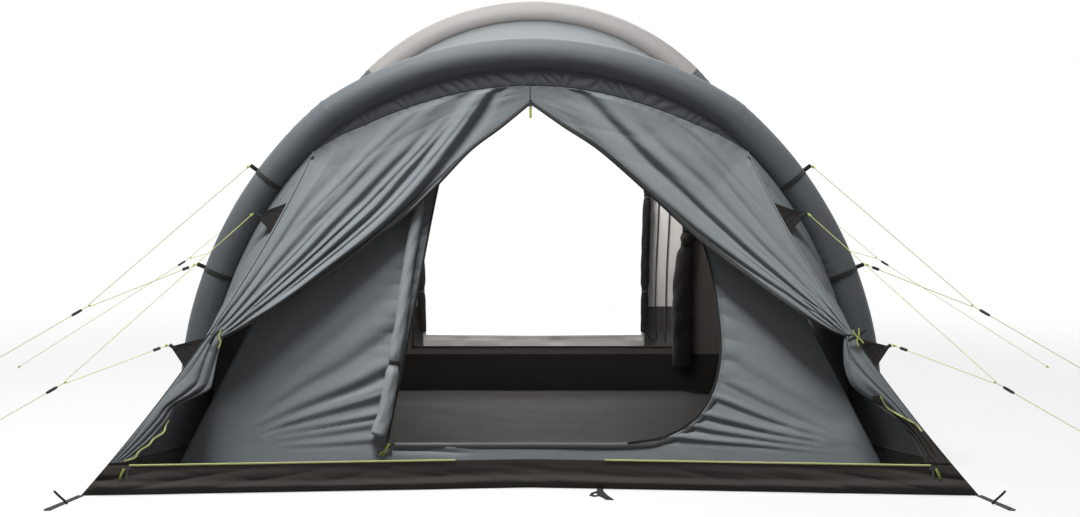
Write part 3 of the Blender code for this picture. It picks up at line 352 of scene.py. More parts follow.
# Coated cloth: a plain weave of sine threads, longer slubs, fine creases, hem stitches and dust near the ground
clothSpec = {"thread": 0.0016, "crease": 0.8, "creaseScale": 26.0, "mottleScale": 3.1, "deep": 0.8,
             "pale": 1.17, "dust": 0.16, "rough": 0.66, "sheen": 0.04, "gloss": 0.24, "depth": 0.0011}
hemSpec = {"width": 0.020, "rows": (0.0165, 0.0045), "stitch": 0.0052, "threadHalf": 0.0011}


def clothLook(name, **changes):
    spec = {**clothSpec, **changes}
    look = Look(name)
    place = look.place()
    flat, u, v = look.clothMap()
    height = look.node("ShaderNodeSeparateXYZ", {}, {0: place}, "Z")
    turns = math.tau / spec["thread"]
    weave = look.sine(u * turns) * look.sine(v * turns)
    slub = look.blur(flat, 1.0, 2.0, (38.0, 420.0, 1.0)) + look.blur(flat, 1.0, 2.0, (420.0, 38.0, 1.0))
    crease = look.blur(place, spec["creaseScale"], 4.0, rough=0.6)
    mottle = look.blur(place, spec["mottleScale"], 3.0)
    tone = spec["tone"]
    deep, pale = darker(tone, spec["deep"]), darker(tone, spec["pale"])
    base = look.colour(slub * 0.5 * 0.55 + mottle * 0.45, deep, pale)
    if "tone2" in spec:  # a second cloth between two seams, by the map's length
        first, last = spec["seam"]
        past = look.step(v, first, first + 0.001) * look.step(v, last, last - 0.001)
        tone2 = spec["tone2"]
        other = look.colour(slub * 0.5 * 0.5 + mottle * 0.5, darker(tone2, 0.93), darker(tone2, 1.05))
        base = look.colour(past, base, other)
    if "footTone" in spec:  # the base band, below a seam at one height
        footTone, seam = spec["footTone"], spec["footHeight"]
        band = look.colour(slub * 0.5, darker(footTone, 0.85), darker(footTone, 1.15))
        base = look.colour(look.step(height, seam + 0.0006, seam - 0.0006), base, band)
        line = look.step(look.size(height - seam + 0.004), 0.0012, 0.0005)
        base = look.colour(line * 0.6, base, darker(footTone, 0.4))
    if "skirtTone" in spec:  # a darker cloth where the piece's own attribute says so
        base = look.colour(look.step(look.attribute("skirt"), 0.45, 0.55), base, spec["skirtTone"])
    dust = look.step(height, spec["dust"], 0.0) * look.blur(place, 9.0, 3.0)
    base = look.colour(dust * 0.35, base, darker(tone, 0.75))
    edge = look.attribute("hem")
    fold = look.step(edge, hemSpec["width"], hemSpec["width"] - 0.0015)
    rows = 0.0
    for row in hemSpec["rows"]:
        rows = look.step(look.size(edge - row), hemSpec["threadHalf"], 0.0004) + rows
    stitch = rows * look.step(look.sine((u + v) * (math.tau / hemSpec["stitch"])), -0.55, -0.2)
    base = look.colour(fold * 0.22, base, darker(tone, 0.6))
    base = look.colour(stitch * 0.7, base, spec.get("threadTone", darker(tone, 0.4)))
    rough = mottle * 0.10 + spec["rough"] - weave * 0.03
    relief = weave * 0.10 + slub * 0.22 + crease * spec["crease"] + fold * 0.6 - stitch * 0.5
    return look.finish({"Base Color": base, "Roughness": rough, "Sheen Weight": spec["sheen"],
                        "Sheen Roughness": 0.45, "Specular IOR Level": spec["gloss"]}, relief, spec["depth"])


# Woven tape: ribs across the band and a finer twill along it
def tapeLook(name, tone, pale=1.9, rib=0.0022, rough=0.72):
    look = Look(name)
    u, v = look.clothMap()[1:]
    ribs = look.sine(v * (math.tau / rib)) * 0.5 + look.sine((u + v) * (math.tau / (rib * 0.8))) * 0.5
    worn = look.blur(look.place(), 70.0, 3.0)
    base = look.colour(worn * 0.6 + ribs * 0.2, tone, darker(tone, pale))
    return look.finish({"Base Color": base, "Roughness": worn * 0.12 + rough, "Sheen Weight": 0.15,
                        "Specular IOR Level": 0.35}, ribs * 0.5 + worn * 0.4, 0.0006)


# Braided cord: two crossing spirals of strands, with a painted glow: a little emission in the cord's own colour
# that brightens the thin cords
strandSpec = {"along": 1900.0, "round": 2 * math.tau / 0.0094, "glow": 0.16}


def cordLook(name, tone, other):
    look = Look(name)
    u, v = look.clothMap()[1:]
    along, around = v * strandSpec["along"], u * strandSpec["round"]
    braid = look.sine(along + around) * look.sine(along - around)
    base = look.colour(look.step(braid, 0.35, 0.7) * 0.75, tone, other)
    # Emission Strength "glow" is painted light: the cord glows a little though it is no lamp
    return look.finish({"Base Color": base, "Roughness": braid * 0.06 + 0.62, "Sheen Weight": 0.2,
                        "Emission Color": (*tone, 1.0), "Emission Strength": strandSpec["glow"]}, braid, 0.0003)


# Moulded plastic: fine grain and rubbed patches
def plasticLook(name, tone, rough=0.38):
    look = Look(name)
    place = look.place()
    grain, rubbed = look.blur(place, 900.0, 2.0), look.blur(place, 40.0, 4.0)
    return look.finish({"Base Color": look.colour(rubbed, tone, darker(tone, 1.9)),
                        "Roughness": rubbed * 0.18 + rough, "Specular IOR Level": 0.5}, grain, 0.0003)


# Zip: two rows of teeth meeting in the middle of the tape, by the map across (u) and along (v)
def zipLook(name, tone, teeth, width, pitch=0.0024, rib=0.0011):
    look = Look(name)
    u, v = look.clothMap()[1:]
    middle = look.step(look.size(u - width / 2), 0.0031, 0.0023)
    tooth = look.step(look.sine(v * (math.tau / pitch)), -0.3, 0.3)
    ribs = look.sine(u * (math.tau / rib))
    worn = look.blur(look.place(), 60.0, 3.0)
    base = look.colour(worn, darker(tone, 0.82), darker(tone, 1.12))
    base = look.colour(middle * (tooth * 0.45 + 0.55), base, teeth)
    return look.finish({"Base Color": base, "Roughness": worn * 0.1 + 0.55, "Sheen Weight": 0.1},
                       middle * tooth + ribs * 0.1 + middle, 0.0009)


slate, greige, taupe = (0.205, 0.224, 0.237), (0.47, 0.445, 0.43), (0.044, 0.038, 0.033)
umber, innerBrown = (0.050, 0.044, 0.039), (0.33, 0.30, 0.275)
black, lime, sleeveTone = (0.012, 0.012, 0.013), (0.56, 0.64, 0.13), (0.135, 0.150, 0.163)
wallFoot = {"footTone": taupe, "footHeight": 0.118}

looks = {
    "flysheet": clothLook("flysheetWeave", tone=slate, **wallFoot),
    # Painted light: the curtains are the flysheet's slate cloth made 1.3 times lighter, for the light falling
    # on them
    "curtain": clothLook("curtainWeave", tone=darker(slate, 1.30), skirtTone=taupe, crease=1.0),
    # Painted shade: the band is the flysheet's cloth made darker, for the near beam's shadow on it
    "band": clothLook("bandWeave", tone=darker(slate, 0.7)),
    # Painted shade: the cloth below the ties is the curtains' cloth made darker, for the shade it hangs in
    "lower": clothLook("lowerWeave", tone=darker(slate, 0.95), skirtTone=taupe),
    "nearSleeve": clothLook("sleeveWeave", tone=sleeveTone, rough=0.46, gloss=0.3, crease=0.5),
    "inner": clothLook("roomWeave", tone=(0.310, 0.338, 0.357), crease=1.2, creaseScale=20.0),
    "sill": clothLook("sillWeave", tone=darker(taupe, 0.9), dust=0.08, crease=1.0),
    "umber": clothLook("umberWeave", tone=umber, crease=1.3, creaseScale=16.0),
    "floor": clothLook("tubWeave", tone=(0.088, 0.081, 0.072), rough=0.5, crease=1.6, creaseScale=11.0,
                       depth=0.004),
    "brown": clothLook("innerWeave", tone=innerBrown),
    # Painted light: the room door's roll is the room wall's cloth made lighter, for its lit side
    "roll": clothLook("rollWeave", tone=(0.40, 0.43, 0.45)),
    "farRoll": clothLook("farRollWeave", tone=(0.011, 0.010, 0.009), gloss=0.1, sheen=0.0),
    "farWall": clothLook("farWallWeave", tone=(0.55, 0.52, 0.495), deep=0.92, pale=1.05,
                         skirtTone=(0.035, 0.031, 0.027), threadTone=(0.05, 0.05, 0.05)),
    "farSide": clothLook("farSideWeave", tone=slate, **wallFoot),
    "patch": clothLook("patchWeave", tone=(0.019, 0.017, 0.016), thread=0.0028, gloss=0.14),
    "webbing": tapeLook("webbingTape", darker(black, 0.5), 1.5),
    "limeTape": tapeLook("limeTape", lime, 1.25, 0.0016),
    "piping": tapeLook("blackPiping", (0.015, 0.015, 0.016), 1.8, 0.0012),
    "plastic": plasticLook("blackPlastic", black),
    "film": plasticLook("clearFilm", (0.55, 0.57, 0.58), 0.25),
    "cord": cordLook("braidedCord", (0.78, 0.88, 0.24), (0.92, 0.95, 0.60)),
    "limeCord": cordLook("limeCord", lime, (0.72, 0.80, 0.22)),
    "limeZip": zipLook("limeZip", (0.80, 0.86, 0.30), (0.86, 0.90, 0.40), 0.008),
    "blackZip": zipLook("blackZip", (0.020, 0.020, 0.021), (0.045, 0.045, 0.046), 0.016),
}
print("looks ready:", len(looks))

# Camera, floor and light

bpy.context.scene.view_settings.view_transform = "Standard"

cameraPlace = {"lens": 59.4, "x": 0.04, "back": 7.639, "eye": 1.58, "turn": 84.92}
data = bpy.data.cameras.new("camera")
data.lens, data.sensor_width = cameraPlace["lens"], 36.0
camera = bpy.data.objects.new("camera", data)
camera.location = (cameraPlace["x"], nearY - cameraPlace["back"], cameraPlace["eye"])
camera.rotation_euler = (math.radians(cameraPlace["turn"]), 0.0, 0.0)
bpy.context.scene.collection.objects.link(camera)
bpy.context.scene.camera = camera

# The floor is a disc of rings that ends in plain white, so that it meets the background
radii = np.concatenate([np.linspace(0, 6, 13), np.geomspace(7, 90, 16)])[:, None]
turn = np.linspace(0, math.tau, 96, endpoint=False)[None]
floorMesh = gridMesh("floor", stack(radii * np.cos(turn), radii * np.sin(turn), -0.0008), closeCols=True)
floor = bpy.data.objects.new("floor", floorMesh)
bpy.context.scene.collection.objects.link(floor)


# Where a ray comes straight from the camera, off something glossy or through something clear
def seenBy(look):
    rays = look.node("ShaderNodeLightPath", {}, {}, "Is Camera Ray")
    return look.maths("MAXIMUM", look.maths("MAXIMUM", rays, rays.part("Is Glossy Ray")),
                      rays.part("Is Transmission Ray"))


look = Look("paleFloor")
away = look.node("ShaderNodeVectorMath", {"operation": "LENGTH"}, {0: look.place()}, "Value")
seen = seenBy(look)
paint = look.colour(seen, (0.10, 0.10, 0.10), (0.90, 0.90, 0.90))
matte = look.node("ShaderNodeBsdfDiffuse", {}, {"Color": paint}, "BSDF")
glow = look.node("ShaderNodeEmission", {}, {"Color": (1.0, 1.0, 1.0, 1.0), "Strength": 1.0}, "Emission")
share = seen * (0.55 + 0.45 * look.step(away, 2.4, 5.5))
both = look.node("ShaderNodeMixShader", {}, {0: share, 1: matte, 2: glow}, "Shader")
floorMesh.materials.append(look.end(both))

look = Look("studio", "worlds")
fill, plain = [look.node("ShaderNodeBackground", {}, {"Color": tone, "Strength": strength}, "Background")
               for tone, strength in (((0.97, 0.985, 1.0, 1.0), 0.09), ((1.0, 1.0, 1.0, 1.0), 1.0))]
both = look.node("ShaderNodeMixShader", {}, {0: seenBy(look), 1: fill, 2: plain}, "Shader")
bpy.context.scene.world = look.end(both, "ShaderNodeOutputWorld")

lamps = {
    "above": {"place": (-1.3, -3.0, 7.3), "aim": (0.0, -1.5, 1.0), "size": (4.0, 1.3), "power": 620.0},
    "left": {"place": (-6.5, -7.5, 3.4), "aim": (-0.4, -1.2, 0.8), "size": (3.0, 3.0), "power": 18.0},
    "right": {"place": (6.8, -6.0, 3.4), "aim": (0.4, -1.2, 0.8), "size": (3.0, 3.0), "power": 5.0},
    "far": {"place": (0.0, 6.5, 5.0), "aim": (0.0, 1.4, 1.0), "size": (5.0, 3.0), "power": 190.0},
    "within": {"place": (0.0, 0.86, 1.78), "aim": (0.0, 2.2, 1.10), "size": (0.7, 0.22), "power": 78.0},
    "room": {"place": (0.0, -1.05, 1.40), "aim": (0.3, 0.6, 1.15), "size": (0.7, 0.3), "power": 4.2},
}
for name, spec in lamps.items():
    data = bpy.data.lights.new(name + "Lamp", "AREA")
    data.shape, data.size, data.size_y, data.energy = "RECTANGLE", *spec["size"], spec["power"]
    lamp = bpy.data.objects.new(name + "Lamp", data)
    lamp.location = spec["place"]
    aim = np.array(spec["aim"]) - np.array(spec["place"])
    lamp.rotation_euler = (math.atan2(math.hypot(aim[0], aim[1]), -aim[2]), 0.0, math.atan2(-aim[0], aim[1]))
    bpy.context.scene.collection.objects.link(lamp)
print("camera, floor and lights ready")

# Guy cords: a bridle between two loops, held at a ring, and the line from the ring to its peg

cordSpec = {"size": 0.003, "bend": 0.006, "gap": 0.0021, "strand": 0.0016, "knot": 0.0075, "ringKnot": 0.0055,
            "endKnot": 0.009, "knotIn": 0.012, "ringKnotBack": 0.003, "lock": 0.0065, "lockAt": (0.040, 0.066)}
guys = {
    "near": {"upper": (1.20094, nearY, 1.30231), "lower": (1.43586, nearY, 0.87696),
             "ring": (1.90, nearY, 0.70), "peg": (3.11, nearY, 0.00305)},
    "tall": {"upper": (1.38059, tallY, 1.18535), "lower": (1.5595, tallY, 0.78624),
             "ring": (2.01, tallY, 0.66), "peg": (3.05, tallY, 0.00305)},
    "patch": {"upper": (1.16622, -1.54386, 1.10607), "lower": (1.48506, -1.76386, 0.578),
              "ring": (1.89, -1.84422, 0.437), "peg": (2.65, -1.93422, 0.00305)},
}


def turned(point, side):
    return np.array(point, float) * (side, 1.0, 1.0)


# A small knot, a trefoil wound flat round the line: sin t + 2 sin 2t along it and cos t - 2 cos 2t across it
def knotPiece(name, centre, along, size):
    t = np.linspace(0, math.tau, 72, endpoint=False)
    along = unit(np.array(along, float))
    side = unit(np.cross(along, (0.0, 1.0, 0.15)))
    up = np.cross(side, along)
    a = (np.sin(t) + 2 * np.sin(2 * t)) / 3
    b = (np.cos(t) - 2 * np.cos(2 * t)) / 3
    c = -np.sin(3 * t) / 3
    path = centre + size * (a[:, None] * along + 0.62 * b[:, None] * side + 0.5 * c[:, None] * up)
    tangent = unit(np.roll(path, -1, axis=0) - np.roll(path, 1, axis=0))
    first = unit(np.cross(tangent, unit(path - centre + 1e-5)))
    second = np.cross(first, tangent)
    angle = np.linspace(0, math.tau, 8, endpoint=False)[None, :, None]
    ring = np.cos(angle) * first[:, None] + np.sin(angle) * second[:, None]
    grid = path[:, None] + cordSpec["strand"] * ring
    return addPiece(name, gridMesh(name, grid, closeRows=True, closeCols=True), "limeCord", "cord")


# A length of guy cord, an open tube along its path, with its knots and its lock; the runner that rides on it is
# only gathered into a list with them
def guyCord(name, path, up, node, length, knots, bar=None, runner=None):
    mesh = gridMesh(name, tubeGrid(path, cordSpec["size"] / 2, 8, up), closeCols=True)
    made = addPiece(name, mesh, "cord", "cord", nodes=[node])
    ridden = [knotPiece(name + knot, *placed) for knot, placed in knots.items()]
    if bar is not None:
        ridden.append(welt(name + "Lock", bar, cordSpec["lock"], "plastic", "plastic", up, 14))
    if runner:
        ridden.append(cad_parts[runner])


for side, label in sides:
    for key, spec in guys.items():
        upper, lower, ring, peg = [turned(spec[at], side) for at in ("upper", "lower", "ring", "peg")]
        forward = unit(peg - ring)
        across = unit(upper - ring) - unit(lower - ring)
        across = unit(across - forward * across.dot(forward))
        angles = np.radians((60, 30, 0, -30, -60))[:, None]
        bends = ring + cordSpec["bend"] * (forward * np.cos(angles) + across * np.sin(angles))
        route = np.vstack([upper, bends, lower])
        share = np.concatenate([[0], np.cumsum(np.linalg.norm(np.diff(route, axis=0), axis=1))])
        ends = [np.linspace(0, share[1], 9), share, np.linspace(share[-2], share[-1], 9)]
        at = np.unique(np.concatenate(ends))
        path = np.stack([np.interp(at, share, route[:, k]) for k in range(3)], axis=1)
        plane = unit(np.cross(upper - ring, lower - ring))
        names = key.title() + label.title(), key + "_" + label
        knots = {"Knot%d" % n: (end + unit(ring - end) * cordSpec["knotIn"], ring - end, cordSpec["knot"])
                 for n, end in enumerate((upper, lower))}
        bar = lower + unit(ring - lower) * np.linspace(*cordSpec["lockAt"], 8)[:, None]
        guyCord("bridle" + names[0], path, plane, "guy_bridle_" + names[1], share[-1], knots,
                None if key == "tall" else bar)
        start = ring + forward * (cordSpec["bend"] + cordSpec["gap"])
        path = start + (peg - start) * np.linspace(0, 1, 24)[:, None]
        knots = {"RingKnot": (start - forward * cordSpec["ringKnotBack"], forward, cordSpec["ringKnot"]),
                 "EndKnot": (peg - forward * cordSpec["knotIn"], forward, cordSpec["endKnot"])}
        guyCord("line" + names[0], path, (0.0, 1.0, 0.1), "guy_line_" + names[1], np.linalg.norm(peg - start),
                knots, runner="guy_runner_" + names[1])
print("guy cords ready")

# Air beam sleeves

sleeveSpec = {
    "rows": 521, "cols": 58, "radius": 0.0721, "kneeFolds": 0.0022, "legs": 0.0018, "cloth": 0.0007,
    "ends": (0.93, 0.7, 0.35, 0.0), "crownStop": 4.93,
    "near": {"dents": 0.0011, "puckers": 0.0011, "seed": 3},
    "tall": {"dents": 0.0010, "puckers": 0.0009, "seed": 7},
}


# A sleeve: centre + (radius + relief) (cos a outward - sin a along Y), closed at both feet
def sleeve(which):
    spec, seed = sleeveSpec[which], sleeveSpec[which]["seed"]
    s = np.linspace(-foot, foot, sleeveSpec["rows"])[:, None]
    a = np.linspace(0, math.tau, sleeveSpec["cols"], endpoint=False)[None, :]
    x, z, turn = archLine(which, s)
    steps = np.concatenate([[0], np.cumsum(np.hypot(np.diff(x[:, 0]), np.diff(z[:, 0])))])[:, None]
    dents = spec["dents"] * noise(steps * 5, a * 1.9 / math.pi * 4, seed, 3)
    seam = np.minimum(np.abs(a - math.radians(146)), np.abs(a - math.radians(270)))
    gather = np.exp(-(seam / 0.5) ** 2) * pleat(steps / 0.034 + 1.4 * noise(steps * 6, 0 * a, seed + 1))
    kneeFold = np.exp(-((np.abs(s) - knee) / 0.5) ** 2) * np.cos(a + math.pi) * pleat(steps / 0.048)
    legs = smooth((np.abs(s) - 11) / 5) * noise(steps * 11, a * 1.3, seed + 2, 2)
    radius = sleeveSpec["radius"] + dents + spec["puckers"] * gather
    radius = radius + sleeveSpec["kneeFolds"] * np.maximum(kneeFold, -0.3) + sleeveSpec["legs"] * legs
    outward = stack(np.sin(turn), 0.0 * turn, np.cos(turn))
    centre = stack(x, arches[which]["y"] + 0.0 * x, z)
    ring = np.cos(a)[..., None] * outward + np.sin(a)[..., None] * (0.0, -1.0, 0.0)
    grid = centre + radius[..., None] * ring
    shrink = np.array(sleeveSpec["ends"])[:, None, None]
    first, last = centre[0], centre[-1]
    start = (first + (grid[0] - first) * shrink)[::-1]
    finish = last + (grid[-1] - last) * shrink
    cut = beam * math.pi, float(steps[-1, 0])
    clothPiece(which + "Sleeve", np.concatenate([start, grid, finish]), which + "Sleeve", "flysheet",
               (), [which + "_sleeve"], cut, sleeveSpec["cloth"], closeCols=True)


def archLength(stop, count):  # the tall arch's centreline, from its top to a place down one side
    x, z = archLine("tall", np.linspace(0, stop, count))[:2]
    return float(np.hypot(np.diff(x), np.diff(z)).sum())


halfLength, crownLength = archLength(foot, 600), archLength(sleeveSpec["crownStop"], 200)
middle = halfLength + sleeveSpec["radius"]
looks["tallSleeve"] = clothLook("tallSleeveWeave", tone=sleeveTone, rough=0.5, gloss=0.4, crease=0.5,
                                tone2=greige, seam=(middle - crownLength, middle + crownLength))
sleeve("near")
sleeve("tall")
print("air beams ready")

# Roof and side walls: straight from beam to beam with a slight hollow, and creases drawn by the tension

roofSpec = {"sag": 0.020, "rows": 124, "gather": 0.0035, "drape": 0.007, "length": 2.7}


# Roof or wall: near edge + share (tall edge - near edge), moved inwards by a hollow of 4 share (1 - share), by
# gathers that die away from both edges and by a drape between them
def roofPoints(s, share, seed):
    nearEdge = beside("near", s, 0.0, 0.0733)
    tallEdge = beside("tall", s, -roofDrop, -roofAlong)
    turn = archLine("near", s)[2]
    inward = stack(-np.sin(turn), 0.0 * turn, -np.cos(turn))
    points = mix(nearEdge, tallEdge, share[..., None])
    edge = np.minimum(share, 1 - share) * roofSpec["length"]
    gathers = np.exp(-edge / 0.10) * pleat(s * 2.3 + noise(s * 1.7, share * 2, seed)) * smooth(edge / 0.03)
    drape = noise(s * 0.9 + share * 1.2, share * 2.2 - s * 0.25, seed + 1, 3) * smooth(edge / 0.25)
    cross = pleat(share * 1.5 + s * 0.22 + noise(share * 2, s * 0.4, seed + 2)) * smooth(edge / 0.4) * 0.35
    depth = roofSpec["sag"] * 4 * share * (1 - share)
    depth = depth + roofSpec["gather"] * gathers + roofSpec["drape"] * (drape + cross)
    return points + inward * np.maximum(depth, -0.004)[..., None]


share = np.linspace(0, 1, roofSpec["rows"])[:, None]
hemOf = np.minimum(share, 1 - share) * roofSpec["length"]
s = np.linspace(-knee, knee, 190)[None]
clothPiece("roofPanel", roofPoints(s, share + 0 * s, 21), "flysheet", "flysheet",
           ["near_sleeve", "tall_sleeve"], ["roof"], hem=hemOf)
for side, label in sides:
    s = side * np.linspace(knee + 0.004, foot, 200)[None]
    clothPiece("wallPanel" + label.title(), roofPoints(s, share + 0 * s, 31 + side), "flysheet",
               "flysheet", ["near_sleeve", "tall_sleeve"], ["wall_" + label], hem=hemOf)

# Near seams, gussets and the band under the near beam

seamTop, corner = np.array([0.9216, nearY - 0.0403, 1.3684]), np.array([1.80, nearY - 0.61, 0.001])
frontSpec = {"bandDepth": 0.07, "bandFold": 0.0035, "overlap": 0.0008, "seamBow": -0.075, "pull": 0.006,
             "slack": 0.010}


def seamAt(share):  # the seam from the near beam to the corner, bowed inwards
    share = np.asarray(share, float)[..., None]
    bow = np.array([frontSpec["seamBow"], 0.0, 0.0]) * 4 * share * (1 - share)
    return seamTop + (corner - seamTop) * share + bow


def seamDepth(z):  # the Y of the straight line from the seam's top to the corner, at a height
    return seamTop[1] + (corner[1] - seamTop[1]) * (seamTop[2] - z) / (seamTop[2] - corner[2])


def bandAt(s):  # the band's depth under the beam: full at the top and nothing at the shoulders
    return frontSpec["bandDepth"] * (1 - (np.abs(s) / shoulder) ** 4) + frontSpec["overlap"]


# Gusset: leg + across (seam - leg), its pulls and slack greatest halfway across
share = np.linspace(0, 1, 170)[:, None]
across = np.linspace(0, 1, 70)[None]
leg = beside("near", shoulder + share * (foot - shoulder), innerOut, -innerAlong)
edge = seamAt(share)
ramp = smooth(share / 0.06)[..., None]
edge = leg + (edge - leg) * ramp + np.array([0.0, -0.022, -0.022]) * (1 - ramp)
points = mix(leg, edge, across[..., None])
pull = pleat(share * 7 + across * 1.4 + noise(share * 5, across * 2, 41))
slack = noise(share * 4 - across, across * 3, 42, 3)
moved = (frontSpec["pull"] * pull + frontSpec["slack"] * slack) * np.sin(np.pi * across)
points[..., 0] += moved * smooth(share / 0.1)
for side, label in sides:
    clothPiece("gusset" + label.title(), points * (side, 1, 1), "flysheet", "flysheet",
               ["nearSleeve"], ["gusset_" + label], hem=np.minimum(across, 1 - across) * 0.5 + 0 * share)

# Band: from the beam inwards by depth (1 - (s / shoulder)^4), with shallow folds halfway down
s = np.linspace(-shoulder, shoulder, 420)[None]
down = np.linspace(0, 1, 14)[:, None]
depth = bandAt(s)
points = beside("near", s, innerOut - depth * down, -innerAlong - frontSpec["overlap"] * down)
fade = np.sin(np.pi * down) * (1 - (np.abs(s) / shoulder) ** 4)
points[..., 1] -= frontSpec["bandFold"] * pleat(s * 3.1 + noise(s * 2, down, 44)) * fade
# Its look "band" paints the beam's shadow into the cloth's colour
clothPiece("frontBand", points, "band", "flysheet", ["nearSleeve"], ["front_band"],
           hem=(1 - down) * depth + 0 * s)
print("roof, walls, gussets and band ready")

# Near door: two curtains drawn back to ties on the seams

tieShare, hemClear = 0.55, 0.005
tie = seamAt(tieShare) + np.array([-hemClear, 0.0, 0.0])
curtainSpec = {"rows": 256, "cols": 134, "puckers": 0.003, "drape": 0.006, "fine": 0.004, "pinch": 0.0065,
               "hemRadius": 0.0052, "zipWidth": 0.016, "strength": {-1: 0.85, 1: 0.66},
               "centre": {-1: (1.302, 0.600), 1: (1.352, 0.606)}}
# Folds as angle round the tie at 0.5 m, turn per metre, half width, depth, and where they start and stop
curtainFolds = {
    -1: [(30.8, 11, 1.7, 0.026, 0.1, 1.9), (34.2, 9, 0.7, 0.008, 0.3, 1.6), (37, 7.5, 1.2, 0.017, 0.15, 1.5),
         (40.6, 4, 0.8, 0.01, 0.12, 1.5), (44.2, 1.5, 1.7, 0.013, 0.06, 1.75),
         (51, -4.5, 2.2, 0.008, 0.06, 1.7),
         (58, -4.5, 2.4, 0.005, 0.06, 1.1), (65.5, -3, 2.2, 0.004, 0.04, 0.7), (47.6, -2, 0.8, 0.004, 0.1, 1),
         (55, -8, 1, 0.003, 0.5, 1.5)],
    1: [(32.2, 6, 1.5, 0.016, 0.1, 1.6), (38.6, 4.5, 1.8, 0.024, 0.06, 1.85), (45.2, 0.5, 1.9, 0.01, 0.08, 1.6),
        (52, -3.5, 2.3, 0.006, 0.06, 1.3), (60, -3.5, 2.2, 0.004, 0.05, 0.9), (35.6, 5.5, 0.9, 0.005, 0.1, 0.9),
        (41.9, 2.5, 0.8, 0.004, 0.1, 1), (56, -9, 1.1, 0.004, 0.6, 1.4), (67, -2, 2, 0.004, 0.04, 0.6)],
}
freeEdges = {
    -1: [(0.0012, -0.05, 1.567), (0.125, -0.074, 1.466), (0.255, -0.102, 1.368), (0.393, -0.139, 1.224),
         (0.547, -0.175, 1.079), (0.82, -0.235, 0.872), (1.06, -0.295, 0.722), (1.19, -0.325, 0.645),
         (1.268, -0.346, 0.606)],
    1: [(0.0012, -0.05, 1.567), (0.14, -0.074, 1.47), (0.293, -0.1, 1.368), (0.482, -0.14, 1.203),
        (0.71, -0.191, 0.996), (0.92, -0.245, 0.838), (1.1, -0.3, 0.712), (1.22, -0.33, 0.644),
        (1.296, -0.348, 0.612)],
}


def curtainEdges(side, rows):  # along the band and down the seam to the tie, and the free edge
    s = np.linspace(0.0, shoulder, 200)
    top = beside("near", s, innerOut - frontSpec["overlap"] - bandAt(s), -innerAlong - frontSpec["overlap"])
    top[:, 0] += frontSpec["overlap"] * (1 - s / shoulder)
    seam = seamAt(np.linspace(0.04, tieShare, 200)) - np.array([hemClear, 0.0, 0.0])
    free = curveThrough([(x, nearY + y, z) for x, y, z in freeEdges[side]], rows)
    return evenly(np.vstack([top, seam]), rows), free


# A curtain: straight from outer to free edge, then moved forward by folds round the tie, pinches beside it,
# puckers under the band and an uneven hang
def curtainPoints(side, outer, free):
    v = np.linspace(0, 1, curtainSpec["cols"])[None]
    u = np.linspace(0, 1, curtainSpec["rows"])[:, None]
    points = mix(outer[:, None], free[:, None], v[..., None])
    centreX, centreZ = curtainSpec["centre"][side]
    dx, dz = centreX - points[..., 0], points[..., 2] - centreZ
    away, angle = np.hypot(dx, dz), np.degrees(np.arctan2(dz, dx))
    angle = angle + 1.3 * noise(away * 2.2, angle * 0.09, 50 + side, 2) * smooth((away - 0.1) / 0.5)
    out = fanFolds(away, angle, curtainFolds[side]) * np.minimum(1, away / 0.62) ** 0.9 * smooth(v / 0.10)
    out = out * curtainSpec["strength"][side]
    pinch = pleat(v * 5.3 + 0.5 * noise(u * 4, v * 3, 55 + side))
    pinch = pinch * smooth((0.42 - away) / 0.32) * smooth((away - 0.03) / 0.06)
    out = out + curtainSpec["pinch"] * pinch * smooth(v / 0.04)
    hang = noise(v * 3 + u * 2, u * 4 - v, 57 + side, 3) * np.sin(np.pi * np.clip(v, 0, 1))
    tension = pleat(v * 1.7 + u * 2.1 + noise(u * 2.2, v * 2, 59 + side)) * 0.25 * np.sin(np.pi * v)
    fine = noise(away * 2.5, angle * 0.55, 63 + side, 2) * noise(away * 1.4, angle * 0.12, 64 + side)
    fine = fine * smooth((away - 0.15) / 0.2)
    out = (out + curtainSpec["drape"] * (hang + tension) + curtainSpec["fine"] * fine) * smooth(u / 0.10)
    topEdge = np.exp(-v / 0.05) * smooth(v / 0.01) * smooth((0.62 - u) / 0.1)
    out = out + curtainSpec["puckers"] * topEdge * pleat(u * 30 + noise(u * 9, v, 61))
    points[..., 1] -= out
    points[..., 0] -= 0.2 * out
    return points, (1 - v) * np.linalg.norm(free - outer, axis=1)[:, None]


for side, label in sides:
    points, hem = curtainPoints(side, *curtainEdges(side, curtainSpec["rows"]))
    points = points * (side, 1, 1)
    # The look "curtain" is the flysheet's cloth with painted light
    clothPiece("curtain" + label.title(), points, "curtain", "flysheet", ["frontBand"],
               ["curtain_" + label], hem=hem)
    edge, inner = points[:, -1], points[:, -8]
    hemRadius, zipWidth = curtainSpec["hemRadius"], curtainSpec["zipWidth"]
    welt("curtainHem" + label.title(), evenly(edge, 300), hemRadius, "piping", "webbing", count=10)
    lay = evenly(mix(edge, inner, 0.55), 300) + np.array([0.0, -zipThickness, 0.0])
    tape("curtainZip" + label.title(), lay, evenly(edge - inner, 300), zipWidth, zipThickness, "blackZip")

